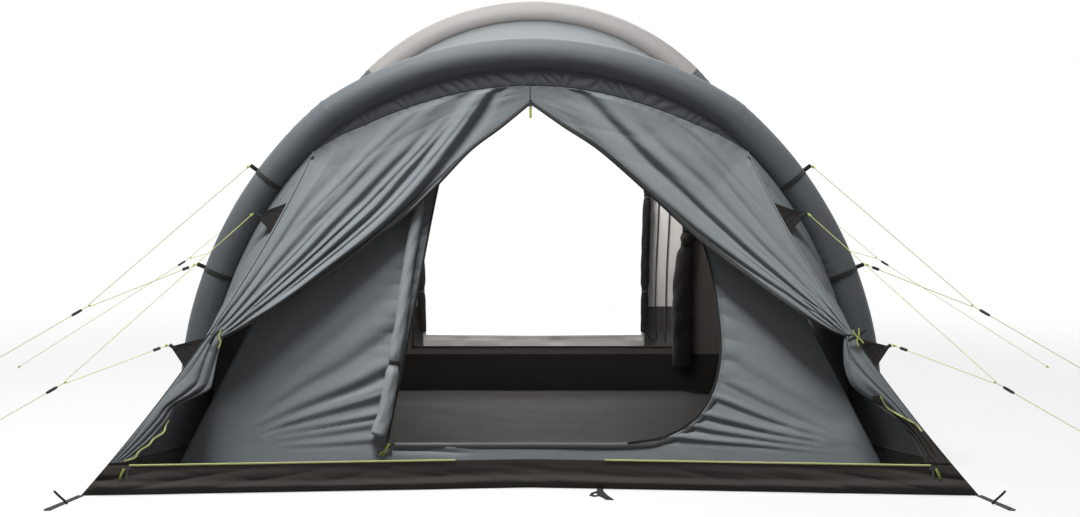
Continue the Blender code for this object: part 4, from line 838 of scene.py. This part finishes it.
# Below the tie the gathered cloth hangs beside the seam and runs out at the sill
lowerSpec = {"rows": 150, "cols": 96, "fold": 0.015, "folds": 3.4, "hang": 0.022, "foot": 0.121,
             "zipWidth": 0.0075, "zipOut": 0.0045, "wobble": 0.004, "behind": 0.0123, "endShare": 0.9128}
lowerEdges = {
    -1: [(1.268, 0.606), (1.284, 0.535), (1.298, 0.43), (1.309, 0.403), (1.36, 0.374), (1.437, 0.339),
         (1.47, 0.278), (1.525, 0.206), (1.584, 0.157), (1.64, 0.122)],
    1: [(1.296, 0.612), (1.289, 0.55), (1.291, 0.49), (1.312, 0.425), (1.355, 0.381), (1.424, 0.335),
        (1.497, 0.273), (1.546, 0.222), (1.59, 0.122)],
}
zipRuns = {
    -1: [(1.468, 0.283), (1.486, 0.243), (1.525, 0.209), (1.551, 0.186), (1.584, 0.159), (1.602, 0.14),
         (1.634, 0.128)],
    1: [(1.424, 0.381), (1.448, 0.339), (1.477, 0.318), (1.558, 0.274), (1.586, 0.243)],
}


# The Y of a place on a grid of cloth, from the six points nearest to it
def depthAt(points, x, z):
    flat = points.reshape(-1, 3)
    away = (flat[None, :, 0] - x[:, None]) ** 2 + (flat[None, :, 2] - z[:, None]) ** 2
    near = np.argsort(away, axis=1)[:, :6]
    return flat[near, 1].mean(axis=1)


for side, label in sides:
    rows, cols = lowerSpec["rows"], lowerSpec["cols"]
    outer = seamAt(np.linspace(tieShare, lowerSpec["endShare"], rows)) - np.array([hemClear, 0.0, 0.0])
    places = [(x, seamDepth(z) + lowerSpec["behind"], z) for x, z in lowerEdges[side]]
    free = curveThrough(places, rows)
    u, v = np.linspace(0, 1, rows)[:, None], np.linspace(0, 1, cols)[None]
    points = mix(outer[:, None], free[:, None], v[..., None])
    width = np.linalg.norm(free - outer, axis=1)[:, None]
    wave = pleat(v * lowerSpec["folds"] + 0.7 * noise(u * 2.2, v * 2, 71 + side) + 0.8 * u)
    wave = wave * (0.25 + 0.75 * v) * np.minimum(1, width / 0.10)
    flutter = noise(u * 5 + v, v * 1.8, 73 + side, 2) * v * smooth(u / 0.2)
    belly = np.sin(np.pi * v ** 0.8) * lowerSpec["hang"] * np.sin(np.pi * np.clip(u * 1.1, 0, 1))
    out = lowerSpec["fold"] * (wave * (1 - 0.55 * u) + 0.7 * flutter) + belly
    points[..., 1] -= out * smooth(u / 0.03 + 0.2) * smooth((1 - u) / 0.06)
    points[..., 2] = np.maximum(points[..., 2], lowerSpec["foot"])
    zipX, zipZ = np.array(zipRuns[side]).T
    beyond = np.interp(points[..., 0], zipX, zipZ) - points[..., 2]
    skirt = np.where((points[..., 0] > zipX[0] - 0.03) & (side > 0), 0.5 + beyond * 40, 0.0)
    mesh = gridMesh("lowerCurtain" + label.title(), points * (side, 1, 1),
                    attributes={"hem": (1 - v) * width, "skirt": np.clip(skirt, 0, 1)})
    # Its look "lower" is the curtains' cloth with painted shade
    made = addPiece("lowerCurtain" + label.title(), mesh, "lower", "flysheet",
                    nodes=["curtain_" + label])
    thicken(made, clothThickness)
    cut = (float(width.max()) + 0.05, float(np.linalg.norm(np.diff(free, axis=0), axis=1).sum()))
    min(gridArea(points), cut[0] * cut[1])
    line = curveThrough([(x, 0.0, z) for x, z in zipRuns[side]], 160)
    line[:, 0] += lowerSpec["wobble"] * np.sin(np.linspace(0, 1, 160) * 21) * (side < 0)
    line[:, 1] = depthAt(points, line[:, 0], line[:, 2]) - lowerSpec["zipOut"]
    line[:, 1] = np.convolve(np.pad(line[:, 1], 8, mode="edge"), np.ones(17) / 17, mode="valid")
    line = line * (side, 1, 1)
    tape("lowerZip" + label.title(), line, sideways(line), lowerSpec["zipWidth"], limeThickness, "limeZip",
         "pull_tape")
print("curtains ready")

# Sill: a low strip from corner to corner, with soft folds fanning from both corners

sillSpec = {"height": 0.115, "lean": 0.02, "fold": 0.010, "crease": 0.016, "half": 1.7984, "back": 0.46,
            "bow": 0.15, "zip": (0.30, 1.62), "zipWidth": 0.0078}
x = np.linspace(-1, 1, 420)[None]  # from corner to corner, and up from ground to zip
up = np.linspace(0, 1, 26)[:, None]
topShare = 1 - up * sillSpec["height"] / (seamTop[2] - corner[2])
reachX = seamAt(topShare[:, 0])[:, 0][:, None] - 0.0016
points = stack(reachX * x, 0.0, 0.001 + sillSpec["height"] * up + 0 * x)
bow = sillSpec["bow"] / sillSpec["half"] * np.abs(points[..., 0])
points[..., 1] = nearY - sillSpec["back"] - bow + sillSpec["lean"] * up
edgeAway = corner[0] - np.abs(points[..., 0])
fan = pleat(edgeAway * 2.4 - up * 1.5 + noise(edgeAway * 1.5, up * 1.2, 81)) * np.exp(-edgeAway / 0.9)
fan = fan + 0.6 * pleat(edgeAway * 5.2 + up * 1.3 + noise(edgeAway * 2, up, 82) * 1.5) * np.exp(-edgeAway / 0.5)
ripple = noise(points[..., 0] * 4 + up * 2.0, up * 1.6, 83, 3)
crease = 0.46 + 0.10 * np.exp(-edgeAway / 0.3) + 0.05 * noise(points[..., 0] * 1.2, 0 * up, 84)
points[..., 1] -= sillSpec["crease"] * smooth((crease - up) / 0.22) * smooth(up / 0.25) * smooth(edgeAway / 0.1)
fade = np.sin(np.pi * np.clip(0.12 + 0.88 * up, 0, 1)) * smooth(edgeAway / 0.05)
points[..., 1] -= sillSpec["fold"] * (0.55 * fan + 0.8 * ripple) * fade
clothPiece("sillPanel", points, "sill", "sill_cloth", (), ["sill"],
           hem=np.minimum(up, 1 - up) * sillSpec["height"] + 0 * x)
sillTop = points[-1]
for side, label in sides:
    start, stop = sillSpec["zip"]
    path = sillTop[(sillTop[:, 0] * side > start) & (sillTop[:, 0] * side < stop)]
    tape("sillZip" + label.title(), evenly(path, 240) + (0.0, -0.0045, 0.001), (0.0, 0.12, 1.0),
         sillSpec["zipWidth"], limeThickness, "limeZip", "pull_tape")
print("sill ready")

# Plates with a doorway: rings between the doorway's outline and the wall's own outline

def stackTwo(a, b):
    return np.stack([a, b], axis=-1)


def arc(halfWidth, height, count, middle=(0.0, 0.0)):  # the upper half of an ellipse, from right to left
    turns = np.linspace(0, math.pi, count)
    return stackTwo(middle[0] + halfWidth * np.cos(turns), middle[1] + height * np.sin(turns))


def polar(outline, centre, angles):  # distance to a closed outline along each angle
    a = np.asarray(outline, float) - centre
    b = np.roll(a, -1, axis=0)
    d = stackTwo(np.cos(angles), np.sin(angles))[:, None]
    edge = (b - a)[None]
    cross = d[..., 0] * edge[..., 1] - d[..., 1] * edge[..., 0]
    cross = np.where(np.abs(cross) < 1e-12, 1e-12, cross)
    t = (a[None, :, 0] * edge[..., 1] - a[None, :, 1] * edge[..., 0]) / cross
    w = (a[None, :, 0] * d[..., 1] - a[None, :, 1] * d[..., 0]) / cross
    t = np.where((w >= -1e-9) & (w <= 1 + 1e-9) & (t > 0), t, np.inf)
    return t.min(axis=1)


# Rings of places from one outline to another, and how far each place is from both
def ringPlate(inner, outer, centre, count, rings):
    inner, outer, centre = np.array(inner, float), np.array(outer, float), np.array(centre, float)
    corners = np.concatenate([inner, outer]) - centre
    even = np.linspace(-math.pi, math.pi, count, endpoint=False)
    angles = np.unique(np.round(np.concatenate([even, np.arctan2(corners[:, 1], corners[:, 0])]), 7))
    near, far = polar(inner, centre, angles), polar(outer, centre, angles)
    share = np.linspace(0, 1, rings)[:, None]
    reach = mix(near[None], far[None], share)
    flat = centre + reach[..., None] * stackTwo(np.cos(angles), np.sin(angles))[None]
    return flat, reach - near, far - reach


# Room near wall, leaning back, with its D-shaped doorway
roomSpec = {"front": nearY - 0.30, "lean": 0.2, "fold": 0.012, "piping": 0.0042, "zipWidth": 0.016,
            "fansAt": {-1: 1.452, 1: 1.526}, "fansUp": 0.094}
doorShares = [(0.0, 0.0), (0.72, 0.0), (0.83, 0.02), (0.92, 0.07), (0.97, 0.14), (0.995, 0.22), (1.0, 0.32),
              (0.975, 0.5), (0.92, 0.66), (0.83, 0.82), (0.70, 0.93), (0.52, 0.99), (0.34, 0.98), (0.22, 0.90),
              (0.16, 0.80), (0.08, 0.4)]
door = np.array(doorShares) * (1.40, 1.42) + (-0.60, 0.15)
doorLine = np.vstack([curveThrough(door[1:], 160), door[:1]])
wall = np.vstack([[(-1.5, 0.002), (1.5, 0.002)], arc(0.86, 0.33, 60, (0.0, 1.27))])
flat, inAway, outAway = ringPlate(doorLine, wall, (0.05, 0.72), 620, 50)
x, z = flat[..., 0], flat[..., 1]
y = roomSpec["front"] + roomSpec["lean"] * z
roomFolds = {
    -1: [(5, 1.5, 1, 0.5, 0.35, 1.6), (9, 3, 1.1, 0.5, 0.25, 1.6), (12.5, 0.5, 0.8, 0.9, 0.02, 1.5),
         (17, 2.5, 1.5, 1.1, 0.1, 1.6), (22.5, 4, 1.9, 1.05, 0.25, 1.7), (30, 5, 2.4, 0.65, 0.35, 1.7),
         (39, 3, 2.8, 0.3, 0.5, 1.6), (52, -2, 3.4, 0.25, 0.3, 1.5), (14.5, 5, 0.7, 0.4, 0.5, 1.5),
         (19.5, 1, 0.6, 0.35, 0.6, 1.5)],
    1: [(4.5, 2, 1, 0.7, 0.02, 1.6), (8, 2.5, 1, 0.65, 0.05, 1.6), (12, 3, 1.2, 1, 0.02, 1.5),
        (17, 3.5, 1.3, 0.8, 0.1, 1.3), (23, 4, 1.7, 0.45, 0.25, 1.2), (31, 3, 2.4, 0.25, 0.3, 1.3),
        (47, -1, 3, 0.2, 0.3, 1.4)],
}
relief = 0.0
for side, folds in roomFolds.items():
    dx, dz = roomSpec["fansAt"][side] - side * x, z - roomSpec["fansUp"]
    angle, away = np.degrees(np.arctan2(dz, dx)), np.hypot(dx, dz)
    angle = angle + 1.6 * noise(away * 2.4, angle * 0.06, 91 + side, 2)
    relief = relief + fanFolds(away, angle, folds) * smooth(side * x / 0.3 + 0.5) * smooth(away / 1.3) * 1.15
doorEdge = np.exp(-inAway / 0.055) * smooth(inAway / 0.006)
leftGather = pleat(z / 0.062 + 0.4 * noise(z * 8, x * 4, 97)) * smooth((-0.2 - x) / 0.15)
rightGather = pleat(z / 0.085 + x * 4 + 0.5 * noise(z * 6, x * 4, 96)) * smooth((x - 0.5) / 0.15)
relief = relief + 0.6 * doorEdge * leftGather + 0.35 * doorEdge * rightGather
relief = relief + 0.35 * noise(x * 2.2 + z, z * 2.6, 98, 3)
relief = np.maximum(relief, -0.2 - 3 * smooth((z - 0.18) / 0.1))  # the valleys stay in front of the tub
relief = relief + 0.5 * smooth((x - 0.85) / 0.25) * smooth((0.26 - z) / 0.1)
held = smooth(outAway / 0.05) * smooth(inAway / 0.03)
y = y - roomSpec["fold"] * relief * held
clothPiece("roomNearWall", stack(x, y, z), "inner", "flysheet", ["roomCanopy"],
           ["room_near_wall"], cut=(3.0, 1.63), closeCols=True, hem=inAway)


def onNearWall(points, lift):
    return stack(points[:, 0], roomSpec["front"] + roomSpec["lean"] * points[:, 1] - lift, points[:, 1])


leaning = (0.0, 1.0, -roomSpec["lean"])
line = evenly(np.vstack([doorLine[:-1], door[:1]]), 420)
welt("doorPiping", onNearWall(line, 0.0015), roomSpec["piping"], "piping", "webbing", leaning)
zipRoute = [(-0.575, 0.136), (0.0, 0.136), (0.42, 0.136), (0.57, 0.158), (0.70, 0.232), (0.775, 0.33)]
line = onNearWall(curveThrough(zipRoute, 220), 0.004)
tape("doorZip", line, sideways(line, leaning), roomSpec["zipWidth"], zipThickness, "blackZip")

# Room far wall, upright, with its wide doorway
exitSpec = {"at": 0.60578, "fold": 0.006, "piping": 0.0045, "loop": 0.0042}
exitLine = np.vstack([[(-0.65, 0.24), (0.83, 0.24)], arc(0.74, 0.40, 40, (0.09, 1.22))])
back = np.vstack([[(-1.42, 0.190), (1.42, 0.190)], arc(1.02, 0.54, 60, (0.0, 1.28))])
flat, inAway, outAway = ringPlate(exitLine, back, (0.09, 0.80), 420, 30)
x, z = flat[..., 0], flat[..., 1]
sag = noise(x * 3, z * 2.2, 101, 3) * smooth(outAway / 0.1) * smooth(inAway / 0.02)
clothPiece("roomFarWall", stack(x, exitSpec["at"] - exitSpec["fold"] * sag, z), "brown", "inner_cloth",
           ["roomCanopy"], ["room_far_wall"], cut=(2.84, 1.62), closeCols=True, hem=inAway)
line = evenly(np.vstack([exitLine, exitLine[:1]]), 420)
line = stack(line[:, 0], exitSpec["at"] - 0.002 + 0 * line[:, 0], line[:, 1])
welt("exitPiping", line, exitSpec["piping"], "piping", "webbing")
loop = [(0.600, 0.596, 0.345), (0.622, 0.592, 0.318), (0.642, 0.588, 0.284), (0.662, 0.589, 0.272),
        (0.676, 0.592, 0.292), (0.670, 0.596, 0.335)]
welt("exitLoop", curveThrough(loop, 90), exitSpec["loop"], "piping", "webbing")

# Canopy: foot to shoulder, a half-round crown and down again, in three profiles along the room
canopySpec = {"crown": 1.684, "fold": 0.006, "foot": 0.2}
c = np.linspace(-1, 1, 220)[None]


def canopyProfile(footHalf, shoulderHalf, shoulderZ, top):
    side = np.clip((np.abs(c) - 0.42) / 0.58, 0, 1)
    angle = np.clip(np.abs(c) / 0.42, 0, 1) * math.pi / 2
    x = np.where(side > 0, mix(shoulderHalf, footHalf, side), shoulderHalf * np.sin(angle))
    z = np.where(side > 0, mix(shoulderZ, 0.201, side), shoulderZ + (top - shoulderZ) * np.cos(angle))
    return np.sign(c) * x, z


profiles = [canopyProfile(1.394, 0.855, 1.27, 1.595), canopyProfile(1.29, 0.885, 1.27, canopySpec["crown"]),
            canopyProfile(1.44, 1.02, 1.28, 1.82)]
rows = np.concatenate([np.linspace(0, 1, 26)[:-1], np.linspace(1, 2, 90)])[:, None]
low, high = np.clip(rows, 0, 1), np.clip(rows - 1, 0, 1)
x, z = [mix(mix(first, second, low), third, high) for first, second, third in zip(*profiles)]
y = mix(mix(roomSpec["front"] + 0.2 * z + 0.005, nearY + 0.03, low), 0.6049, high)
hang = noise(rows * 3, c * 5, 111, 3) + 0.6 * pleat(rows * 2.2 + c * 1.5 + noise(rows, c * 3, 112))
scale = 1 - canopySpec["fold"] * hang * np.sin(np.pi * np.clip(rows / 2, 0, 1)) ** 0.5
x, z = x * scale, canopySpec["foot"] + (z - canopySpec["foot"]) * scale
clothPiece("roomCanopy", stack(x, y, z), "brown", "inner_cloth", ["roof"], ["room_canopy"])

# Groundsheet tub: floor rings out to the plan's edge, then walls up to the rim
tubSpec = {"rise": 0.0085, "base": 0.0012, "sag": 0.010}
plan = np.array([(-1.38, nearY - 0.2987), (1.38, nearY - 0.2987), (1.27, nearY),
                 (1.42, 0.6045), (-1.42, 0.6045), (-1.27, nearY)])
lift = np.where(plan[:, 1] < nearY - 0.1, 0.12, 0.20)
rim = plan + stackTwo(np.sign(plan[:, 0]) * 0.02, np.where(lift < 0.15, 0.2 * 0.12, 0.0))
p = np.linspace(0, 6, 480, endpoint=False)
i = p.astype(int)
f = (p - i)[:, None]
edgeFloor, edgeRim, rimZ = [mix(a[i], a[(i + 1) % 6], b) for a, b in ((plan, f), (rim, f), (lift, f[:, 0]))]
rings = np.linspace(0, 1, 54)[:, None, None]
middle = np.array([0.0, nearY + 0.85])
flat = middle + (edgeFloor - middle) * rings ** 0.8
x, y = flat[..., 0], flat[..., 1]
ridges = pleat(x * 1.3 + y * 2.1 + noise(x * 2, y * 2, 122)) * noise(x, y, 123)
buckle = noise(x * 3 + y, y * 3.4, 121, 4) + 0.8 * ridges
z = tubSpec["base"] + tubSpec["rise"] * (0.5 + 0.5 * buckle) * smooth((1 - rings[..., 0]) / 0.08)
climb = np.linspace(0, 1, 18)[1:, None, None]
walls = mix(stack(*edgeFloor.T, tubSpec["base"]), stack(*edgeRim.T, rimZ), climb)
sag = noise(p * 4.0, climb[..., 0] * 2, 124, 3)[..., None]
walls[..., :2] += (middle - edgeFloor) / 1.5 * tubSpec["sag"] * (0.5 + 0.5 * sag) * np.sin(np.pi * climb)
clothPiece("groundsheetTub", np.concatenate([stack(x, y, z), walls]), "floor", "groundsheet", (),
           ["groundsheet_tub"], cut=(3.24, 2.70), closeCols=True)
print("inner room ready")

# Far wall, from the tall beam to the ground, with its doorway

farSpec = {"turnsAt": 7, "turnRow": 70, "fold": 0.008, "seams": (0.762, 0.828), "seamRadius": 0.0034,
           "cut": (3.84, 2.2)}
s = np.linspace(0, foot, 161)
topEdge = beside("tall", s, innerOut, innerAlong)
farCorner, farMiddle = np.array([1.92, tallY + 0.86, 0.001]), np.array([0.0, tallY + 0.75, 0.001])
farEnd, turnsAt = np.array([topEdge[-1, 0], topEdge[-1, 1], 0.001]), farSpec["turnsAt"]
acrossFar, alongSide = (s / turnsAt)[:, None], ((s - turnsAt) / (foot - turnsAt))[:, None]
footEdge = np.where(acrossFar <= 1, mix(farMiddle, farCorner, acrossFar), mix(farCorner, farEnd, alongSide))


# The far wall's Y at a place, where the straight lines from beam to ground pass it, as far as the wall's corner
def farDepth(x, z):
    shape = x.shape
    x, z = np.abs(x).ravel()[None], z.ravel()[None]
    last = farSpec["turnRow"]
    top, low = topEdge[:last + 1], footEdge[:last + 1]
    share = np.clip((top[:, 2:3] - z) / (top[:, 2:3] - low[:, 2:3]), -0.2, 1)
    lineX = np.maximum.accumulate(top[:, :1] + (low[:, :1] - top[:, :1]) * share, axis=0)
    lineY = top[:, 1:2] + (low[:, 1:2] - top[:, 1:2]) * share
    i = np.clip((lineX < x).sum(axis=0), 1, last)
    cols = np.arange(x.shape[1])
    x0, x1 = lineX[i - 1, cols], lineX[i, cols]
    f = np.clip((x[0] - x0) / np.maximum(x1 - x0, 1e-6), 0, 1)
    return mix(lineY[i - 1, cols], lineY[i, cols], f).reshape(shape)


farDoor = np.vstack([[(-0.68, 0.10), (0.68, 0.10)], arc(0.68, 0.32, 60, (0.0, 1.46))])
row = farSpec["turnRow"]
cornerLine = mix(topEdge[row], footEdge[row], np.linspace(0, 1, 60)[:, None])
halfOut = np.vstack([topEdge[:row], cornerLine])[:, [0, 2]]
whole = np.vstack([halfOut * (-1, 1), halfOut[::-1]])[::-1]
flat, inAway, outAway = ringPlate(farDoor, whole, (0.0, 0.85), 460, 64)
x, z = flat[..., 0], flat[..., 1]
pull = pleat(np.arctan2(z - 2.0, x) * 5 + noise(x * 2, z * 2, 131, 2)) * 0.5 + noise(x * 2.4, z * 2.1, 132, 3)
calm = smooth(outAway / 0.08) * smooth(inAway / 0.05) * smooth((np.abs(np.abs(x) - 0.795) - 0.04) / 0.05)
points = stack(x, farDepth(x, z) - farSpec["fold"] * pull * calm, z)
block = 0.5 + 60 * np.minimum(np.abs(x) - 0.70, 0.29 - z)
mesh = gridMesh("farWall", points, closeCols=True, attributes={"hem": inAway, "skirt": np.clip(block, 0, 1)})
made = addPiece("farWall", mesh, "farWall", "flysheet", nodes=["far_wall"])
thicken(made, clothThickness)
gridArea(points)
share = np.linspace(0, 1, 70)[:, None, None]
points = mix(topEdge[None, row:], footEdge[None, row:], share)
below = s[None, row:]
slack = noise(share[..., 0] * 3, below * 0.8, 133, 3) * np.sin(np.pi * share[..., 0])
points[..., 0] -= farSpec["fold"] * slack * smooth((below - turnsAt) / 0.8)
for side, label in sides:
    clothPiece("farWallSide" + label.title(), points * (side, 1, 1), "farSide", "flysheet",
               ["tallSleeve"], ["far_wall"], cut=(0.95, 1.84))
    for at in farSpec["seams"]:
        z = np.linspace(1.5, 0.06, 120)
        x = at + 0.002 * np.sin(z * 9)
        line = stack(side * x, farDepth(x, z) - 0.0045, z)
        welt("farSeam%s%d" % (label.title(), at * 1000), line, farSpec["seamRadius"], "piping", "flysheet")
print("far wall ready")


# Rolled doors: tubes with a spiral lap and soft dents

rollSpec = {"size": 0.84, "lap": 0.10, "dents": 0.08, "creases": 0.05, "neck": 0.30, "neckShare": 0.022,
            "tie": 0.016, "tieThickness": 0.0014, "fill": 0.4}


# A rolled door: path + size (1 + lap + dents), drawn in where a tie's tape goes round it
def rollPiece(name, route, radii, look, slot, node, seed, bands):
    t = np.linspace(0, 1, 150)
    bow = np.array([0.018, 0.0, 0.0]) * np.sin(np.pi * t)[:, None] * noise(t * 3, 0 * t, seed)[:, None]
    path = curveThrough(route, 150) + bow
    size = np.interp(t, np.linspace(0, 1, len(radii)), radii) * rollSpec["size"]
    t, a = t[:, None], np.linspace(0, math.tau, 40, endpoint=False)[None]
    lap = rollSpec["lap"] * smooth(((a + 2.0 * t + 0.6 * noise(t * 5, 0 * a, seed)) % math.tau) / math.tau)
    dents = rollSpec["dents"] * noise(t * 16, a * 1.3, seed + 1, 3)
    dents = dents + rollSpec["creases"] * pleat(t * 9 + a * 0.5)
    for at in bands:
        size = size * (1 - rollSpec["neck"] * np.exp(-((t[:, 0] - at) / rollSpec["neckShare"]) ** 2))
    grid = tubeGrid(path, size, 40, (0.0, 1.0, 0.0), size[:, None] * (lap + dents))
    mesh = gridMesh(name, capped(grid, 0.35), closeCols=True, attributes={"hem": 1.0})
    addPiece(name, mesh, look, slot, nodes=[node])
    for n, at in enumerate(bands):
        i = int(at * 149)
        ring = grid[max(i - 1, 0):i + 2].mean(axis=0)
        ring = np.vstack([ring, ring[:1]])
        tape("%sTie%d" % (name, n), ring + (ring - path[i]) * 0.04, path[i + 1] - path[i - 1], rollSpec["tie"],
             rollSpec["tieThickness"], "webbing", cols=3, offset=1.0)


# The room door's roll takes the look "roll", with its painted light
route = [(-0.462, 1.265), (-0.515, 0.765), (-0.60, 0.32), (-0.632, 0.19)]
rollPiece("roomDoorRoll", onNearWall(np.array(route), 0.030), (0.024, 0.026, 0.028, 0.030, 0.036), "roll",
          "flysheet", "room_door_roll", 141, (0.73,))
route = [(0.845, 0.552, 1.445), (0.840, 0.552, 0.86), (0.825, 0.552, 0.50), (0.815, 0.552, 0.15)]
rollPiece("roomExitRoll", route, (0.040, 0.040, 0.046, 0.056, 0.062, 0.060), "umber", "inner_cloth",
          "room_exit_roll", 145, (0.44, 0.50))
for side, label in sides:
    x, z = np.full(3, side * 0.694), np.array([1.46, 0.8, 0.13])
    radii = (0.0275, 0.0275, 0.0275, 0.030, 0.022)
    rollPiece("farDoorRoll" + label.title(), stack(x, farDepth(x, z) - 0.029, z), radii, "farRoll", "flysheet",
              "far_door_roll_" + label, 150 + side, (0.35, 0.80))
print("rolled doors ready")

# Straps round the near sleeve, patches on the seams, webbing on the ground

strapSpec = {
    "radius": 0.0745, "width": 0.020, "thickness": 0.0018, "tab": 0.017, "reach": 0.035, "halfGap": 0.0022,
    "upper": {"at": (1.1118, nearY, 1.2358), "out": (0.8013, 0.0, 0.5982), "run": (-0.5982, 0.0, 0.8013)},
    "lower": {"at": (1.3326, nearY, 0.8369), "out": (0.9324, 0.0, 0.3615), "run": (-0.3615, 0.0, 0.9324)},
}
patchSpec = {
    "length": 0.088, "halfFoot": 0.0725, "halfTip": 0.007, "offset": 0.029, "bulge": 0.006, "fold": 0.0018,
    "loop": 0.014, "reach": 0.034, "halfGap": 0.0026,
    "upper": {"at": (1.0574, -1.5513, 1.0881), "along": (0.428, -0.3476, -0.8343),
              "out": (0.9038, 0.1646, 0.395)},
    "lower": {"at": (1.3796, -1.7764, 0.548), "along": (0.5352, -0.3249, -0.7798),
              "out": (0.8448, 0.2058, 0.494)},
}


# A doubled tape: out and back in a loop, its two halves a gap apart
def loopPath(start, out, reach, apart, halfGap, power):
    bend = np.linspace(-1, 1, 60)[:, None]
    return start + out * reach * (1 - bend ** 4) + apart * halfGap * np.sign(bend) * (1 - np.abs(bend) ** power)


def sleeveStrap(key, side, label):  # round the sleeve, with a tab on its outer side
    at, out, run = [turned(strapSpec[key][part], side) for part in ("at", "out", "run")]
    front, radius = np.array([0.0, -1.0, 0.0]), strapSpec["radius"]
    a = np.radians(np.linspace(-80, 138, 90))[:, None]
    ring = at + radius * (np.cos(a) * out + np.sin(a) * front)
    name = "sleeveStrap%s%s" % (key.title(), label.title())
    tape(name, ring, run, strapSpec["width"], strapSpec["thickness"], "webbing", cols=7,
         nodes=["guy_strap_%s_%s" % (key, label)])
    loop = loopPath(at + out * radius, out, strapSpec["reach"], front, strapSpec["halfGap"], 12)
    tape(name + "Tab", loop, run, strapSpec["tab"], tapeThickness, "webbing")


def seamPatch(key, side, label):  # a three-sided patch that narrows to a loop, bulging between its edges
    at, along, out = [turned(patchSpec[key][part], side) for part in ("at", "along", "out")]
    normal = unit(np.cross(along, out)) * -side
    r, c = np.linspace(0, 1, 40)[:, None], np.linspace(-1, 1, 40)[None]
    half = mix(patchSpec["halfFoot"], patchSpec["halfTip"], r)
    bulge = patchSpec["bulge"] * (1 - c ** 2) * np.sin(np.pi * r)
    bulge = bulge + patchSpec["fold"] * pleat(c * 2 + r) * (1 - r)
    length, offset = patchSpec["length"], patchSpec["offset"]
    grid = at + (offset * r + half * c)[..., None] * along + (length * r + 0 * c)[..., None] * out
    name = "seamPatch%s%s" % (key.title(), label.title())
    clothPiece(name, grid + bulge[..., None] * normal * 0.5, "patch", "patch_cloth",
               ["curtain" + label.title()], ["patch_%s_%s" % (key, label)], cut=(0.145, 0.09), thickness=0.0016,
               hem=np.minimum(half * (1 - np.abs(c)), length * r + 0.03))
    start = at + along * offset + out * 0.070
    tape(name + "Loop", loopPath(start, out, patchSpec["reach"], normal, patchSpec["halfGap"], 10), along,
         patchSpec["loop"], tapeThickness, "webbing")


for make in (sleeveStrap, seamPatch):
    for side, label in sides:
        for key in ("upper", "lower"):
            make(key, side, label)
print("straps and patches ready")

# Ties at the curtains and pulls on the sliders

tieFront, cordFront = tie[1] - 0.034, 0.004
ties = {  # look, radius and route across and up
    "leftPull": ("limeCord", 0.0030, [(-1.268, 0.640), (-1.276, 0.612), (-1.270, 0.590), (-1.279, 0.566)]),
    "leftBand": ("webbing", 0.0050, [(-1.315, 0.585), (-1.300, 0.612), (-1.278, 0.634), (-1.262, 0.640)]),
    "rightBand": ("webbing", 0.0060, [(1.306, 0.598), (1.330, 0.610), (1.352, 0.622), (1.374, 0.640)]),
    "rightLoop": ("limeCord", 0.0030, [(1.322, 0.640), (1.335, 0.618), (1.352, 0.604), (1.366, 0.588)]),
    "rightPull": ("limeCord", 0.0030, [(1.346, 0.648), (1.348, 0.622), (1.340, 0.598), (1.346, 0.576)]),
}
for name, (look, radius, route) in ties.items():
    line = curveThrough([(x, tieFront - cordFront * (look == "limeCord"), z) for x, z in route], 60)
    welt(name, line, radius, look, "webbing" if look == "webbing" else "cord")

# Lime tapes through the sliders' eyes, each riding on its slider: its body, width and route
pullThickness = 0.0022
pulls = {
    "roomPull": ("room_slider", 0.010, [(-0.588, -1.6835, 0.150), (-0.598, -1.6865, 0.136),
                                        (-0.606, -1.6880, 0.120), (-0.618, -1.6870, 0.100)]),
    "roomPullEnd": ("room_slider", 0.008, [(-0.604, -1.6885, 0.118), (-0.622, -1.6900, 0.112),
                                           (-0.632, -1.6890, 0.100)]),
}
for side, label in sides:
    pulls["sillPull" + label.title()] = ("sill_slider_" + label, 0.010, [
        (side * 1.628, -1.990, 0.108), (side * 1.634, -1.992, 0.094), (side * 1.641, -1.992, 0.080),
        (side * 1.646, -1.990, 0.066)])
for name, (body, width, route) in pulls.items():
    line = curveThrough(route, 50)
    tape(name, line, sideways(line), width, pullThickness, "limeTape", "pull_tape", body=body)

# Seam tape over the gap between each curtain and its gusset, and a pull loop on each corner strap
weltSpec = {"seam": 0.0042, "loop": 0.0050}
for side, label in sides:
    line = seamAt(np.linspace(0.004, tieShare, 160)) * (side, 1, 1)
    # The welt takes the curtains' look, with its painted light
    welt("seamWelt" + label.title(), line, weltSpec["seam"], "curtain", "flysheet", attributes={"hem": 1.0})
    loop = [(1.812, -2.168, 0.006), (1.822, -2.172, 0.020), (1.842, -2.176, 0.040), (1.858, -2.178, 0.058)]
    line = curveThrough(np.array(loop) * (side, 1, 1), 40)
    welt("strapLoop" + label.title(), line, weltSpec["loop"], "piping", "webbing")
print("ties and pulls ready")

# CAD nodes that keep their shape take finer finishes

plasticNames = ("guy_runner", "near_valve", "tall_valve", "room_zip_slider", "sill_slider", "peak_slider")
finishes = {
    "plastic": [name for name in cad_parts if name.startswith(plasticNames)],
    "webbing": ["ground_strap_left", "ground_strap_right", "middle_ground_tab"],
    "limeTape": ["peak_pull"],
    "film": ["near_air_tube", "tall_air_tube"],
}
for key, names in finishes.items():
    for place in [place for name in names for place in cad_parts[name].material_slots]:
        place.material = looks[key]
